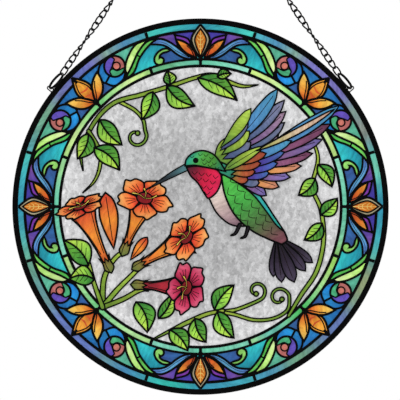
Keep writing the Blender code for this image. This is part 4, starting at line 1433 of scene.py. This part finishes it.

# %% Clear textured glass, with painted light and shade in its colour
clear, tree, tint_input = glass_material("clear_glass", .95, 1.05, .10, .5)
where = add(tree, "TexCoord").outputs["Object"]
blobs = add(tree, "TexNoise", Scale=150.0, Detail=3.0, Roughness=0.6, Distortion=2.2)
facets = add(tree, "TexVoronoi", ("feature", "SMOOTH_F1"), Scale=430.0, Smoothness=0.25)
slanted = add(tree, "Mapping", Rotation=(0, math.radians(35), 0), Scale=(1.0, 1.0, 0.6))
warp = add(tree, "TexNoise", Scale=300.0, Detail=2.0)
warped = add(tree, "VectorMath", ("operation", "MULTIPLY_ADD"))
warped.inputs[1].default_value = (0.006, 0.006, 0.006)
shade = add(tree, "SeparateColor")
centred = add(tree, "VectorMath", ("operation", "SUBTRACT"))
centred.inputs[1].default_value = (0, 0, -DROP)
radial = add(tree, "VectorMath", ("operation", "LENGTH"))
join(tree, (where, blobs.inputs["Vector"]), (where, centred.inputs[0]), (centred.outputs[0], radial.inputs[0]),
     (where, warp.inputs["Vector"]), (warp.outputs[1], warped.inputs[0]), (where, warped.inputs[2]),
     (warped.outputs[0], slanted.inputs["Vector"]), (slanted.outputs["Vector"], facets.inputs["Vector"]),
     (facets.outputs["Color"], shade.inputs[0]))
# Painted light and shade: blobs and facets of light and dark stand for what hammered glass bends in from around
# it, and the grey brightens half again towards the picture's outer edge.
painted_light_level = maths(tree, "MULTIPLY", spread(tree, blobs.outputs[0], .32, .68, .42, .54),
              spread(tree, radial.outputs["Value"], .05, .111, 1.0, 1.5))
painted_light_level = maths(tree, "MULTIPLY", painted_light_level, spread(tree, shade.outputs[0], .1, .9, .74, 1.30))
grey = add(tree, "CombineColor")
for channel, share in zip(grey.inputs[:3], (.99, .99, 1.0)):
    join(tree, (maths(tree, "MULTIPLY", painted_light_level, share), channel))
join(tree, (grey.outputs[0], tint_input))
glass.data.materials.append(stained)
glass.data.materials.append(clear)

# %% [markdown]
# ## Black paste, paint and metal
# The lines are nearly black with a soft gloss, and the painted ones are a warm dark brown. The rim is
# satin black with faint scuffs, and the wire is a dark grey that is paler where it is worn.

# %% Lines, rim and wire
def worn_coat(name, base, worn, amount, size, bump=0.0, metallic=0.0, gloss=0.05):
    """A dark material whose scuffs come from the shared wear group."""
    made, tree, shader = material(name, Metallic=metallic, Specular_IOR_Level=gloss)
    shared = add(tree, "Group", ("node_tree", wear), Base=(*base, 1), Worn=(*worn, 1), Amount=amount, Size=size)
    join(tree, (shared.outputs["Color"], shader.inputs["Base Color"]),
         (shared.outputs["Roughness"], shader.inputs["Roughness"]))
    if bump:
        bump_from(tree, shared.outputs["Height"], bump, .0001, shader)
    return made


BLACK = (.002, .002, .0022)
for piece, coat in (
        (leadwork, worn_coat("black_line", BLACK, (.005, .005, .0055), .5, 500.0, .15)),
        (leadwork, worn_coat("painted_line", (.012, .008, .006), (.03, .02, .014), .6, 1200.0)),
        (rim, worn_coat("black_metal", BLACK, (.007, .007, .0075), .5, 450.0, .12, .05))):
    piece.data.materials.append(coat)
dark_wire = worn_coat("dark_wire", (.005, .005, .0055), (.03, .03, .03), .6, 900.0, .2, gloss=.06)
for piece in list(bpy.data.objects):
    if piece.name.startswith(("staple_", "split_ring_wire_", "chain_links")):
        piece.data.materials.clear()
        piece.data.materials.append(dark_wire)
print("materials:", sorted(m.name for m in bpy.data.materials))
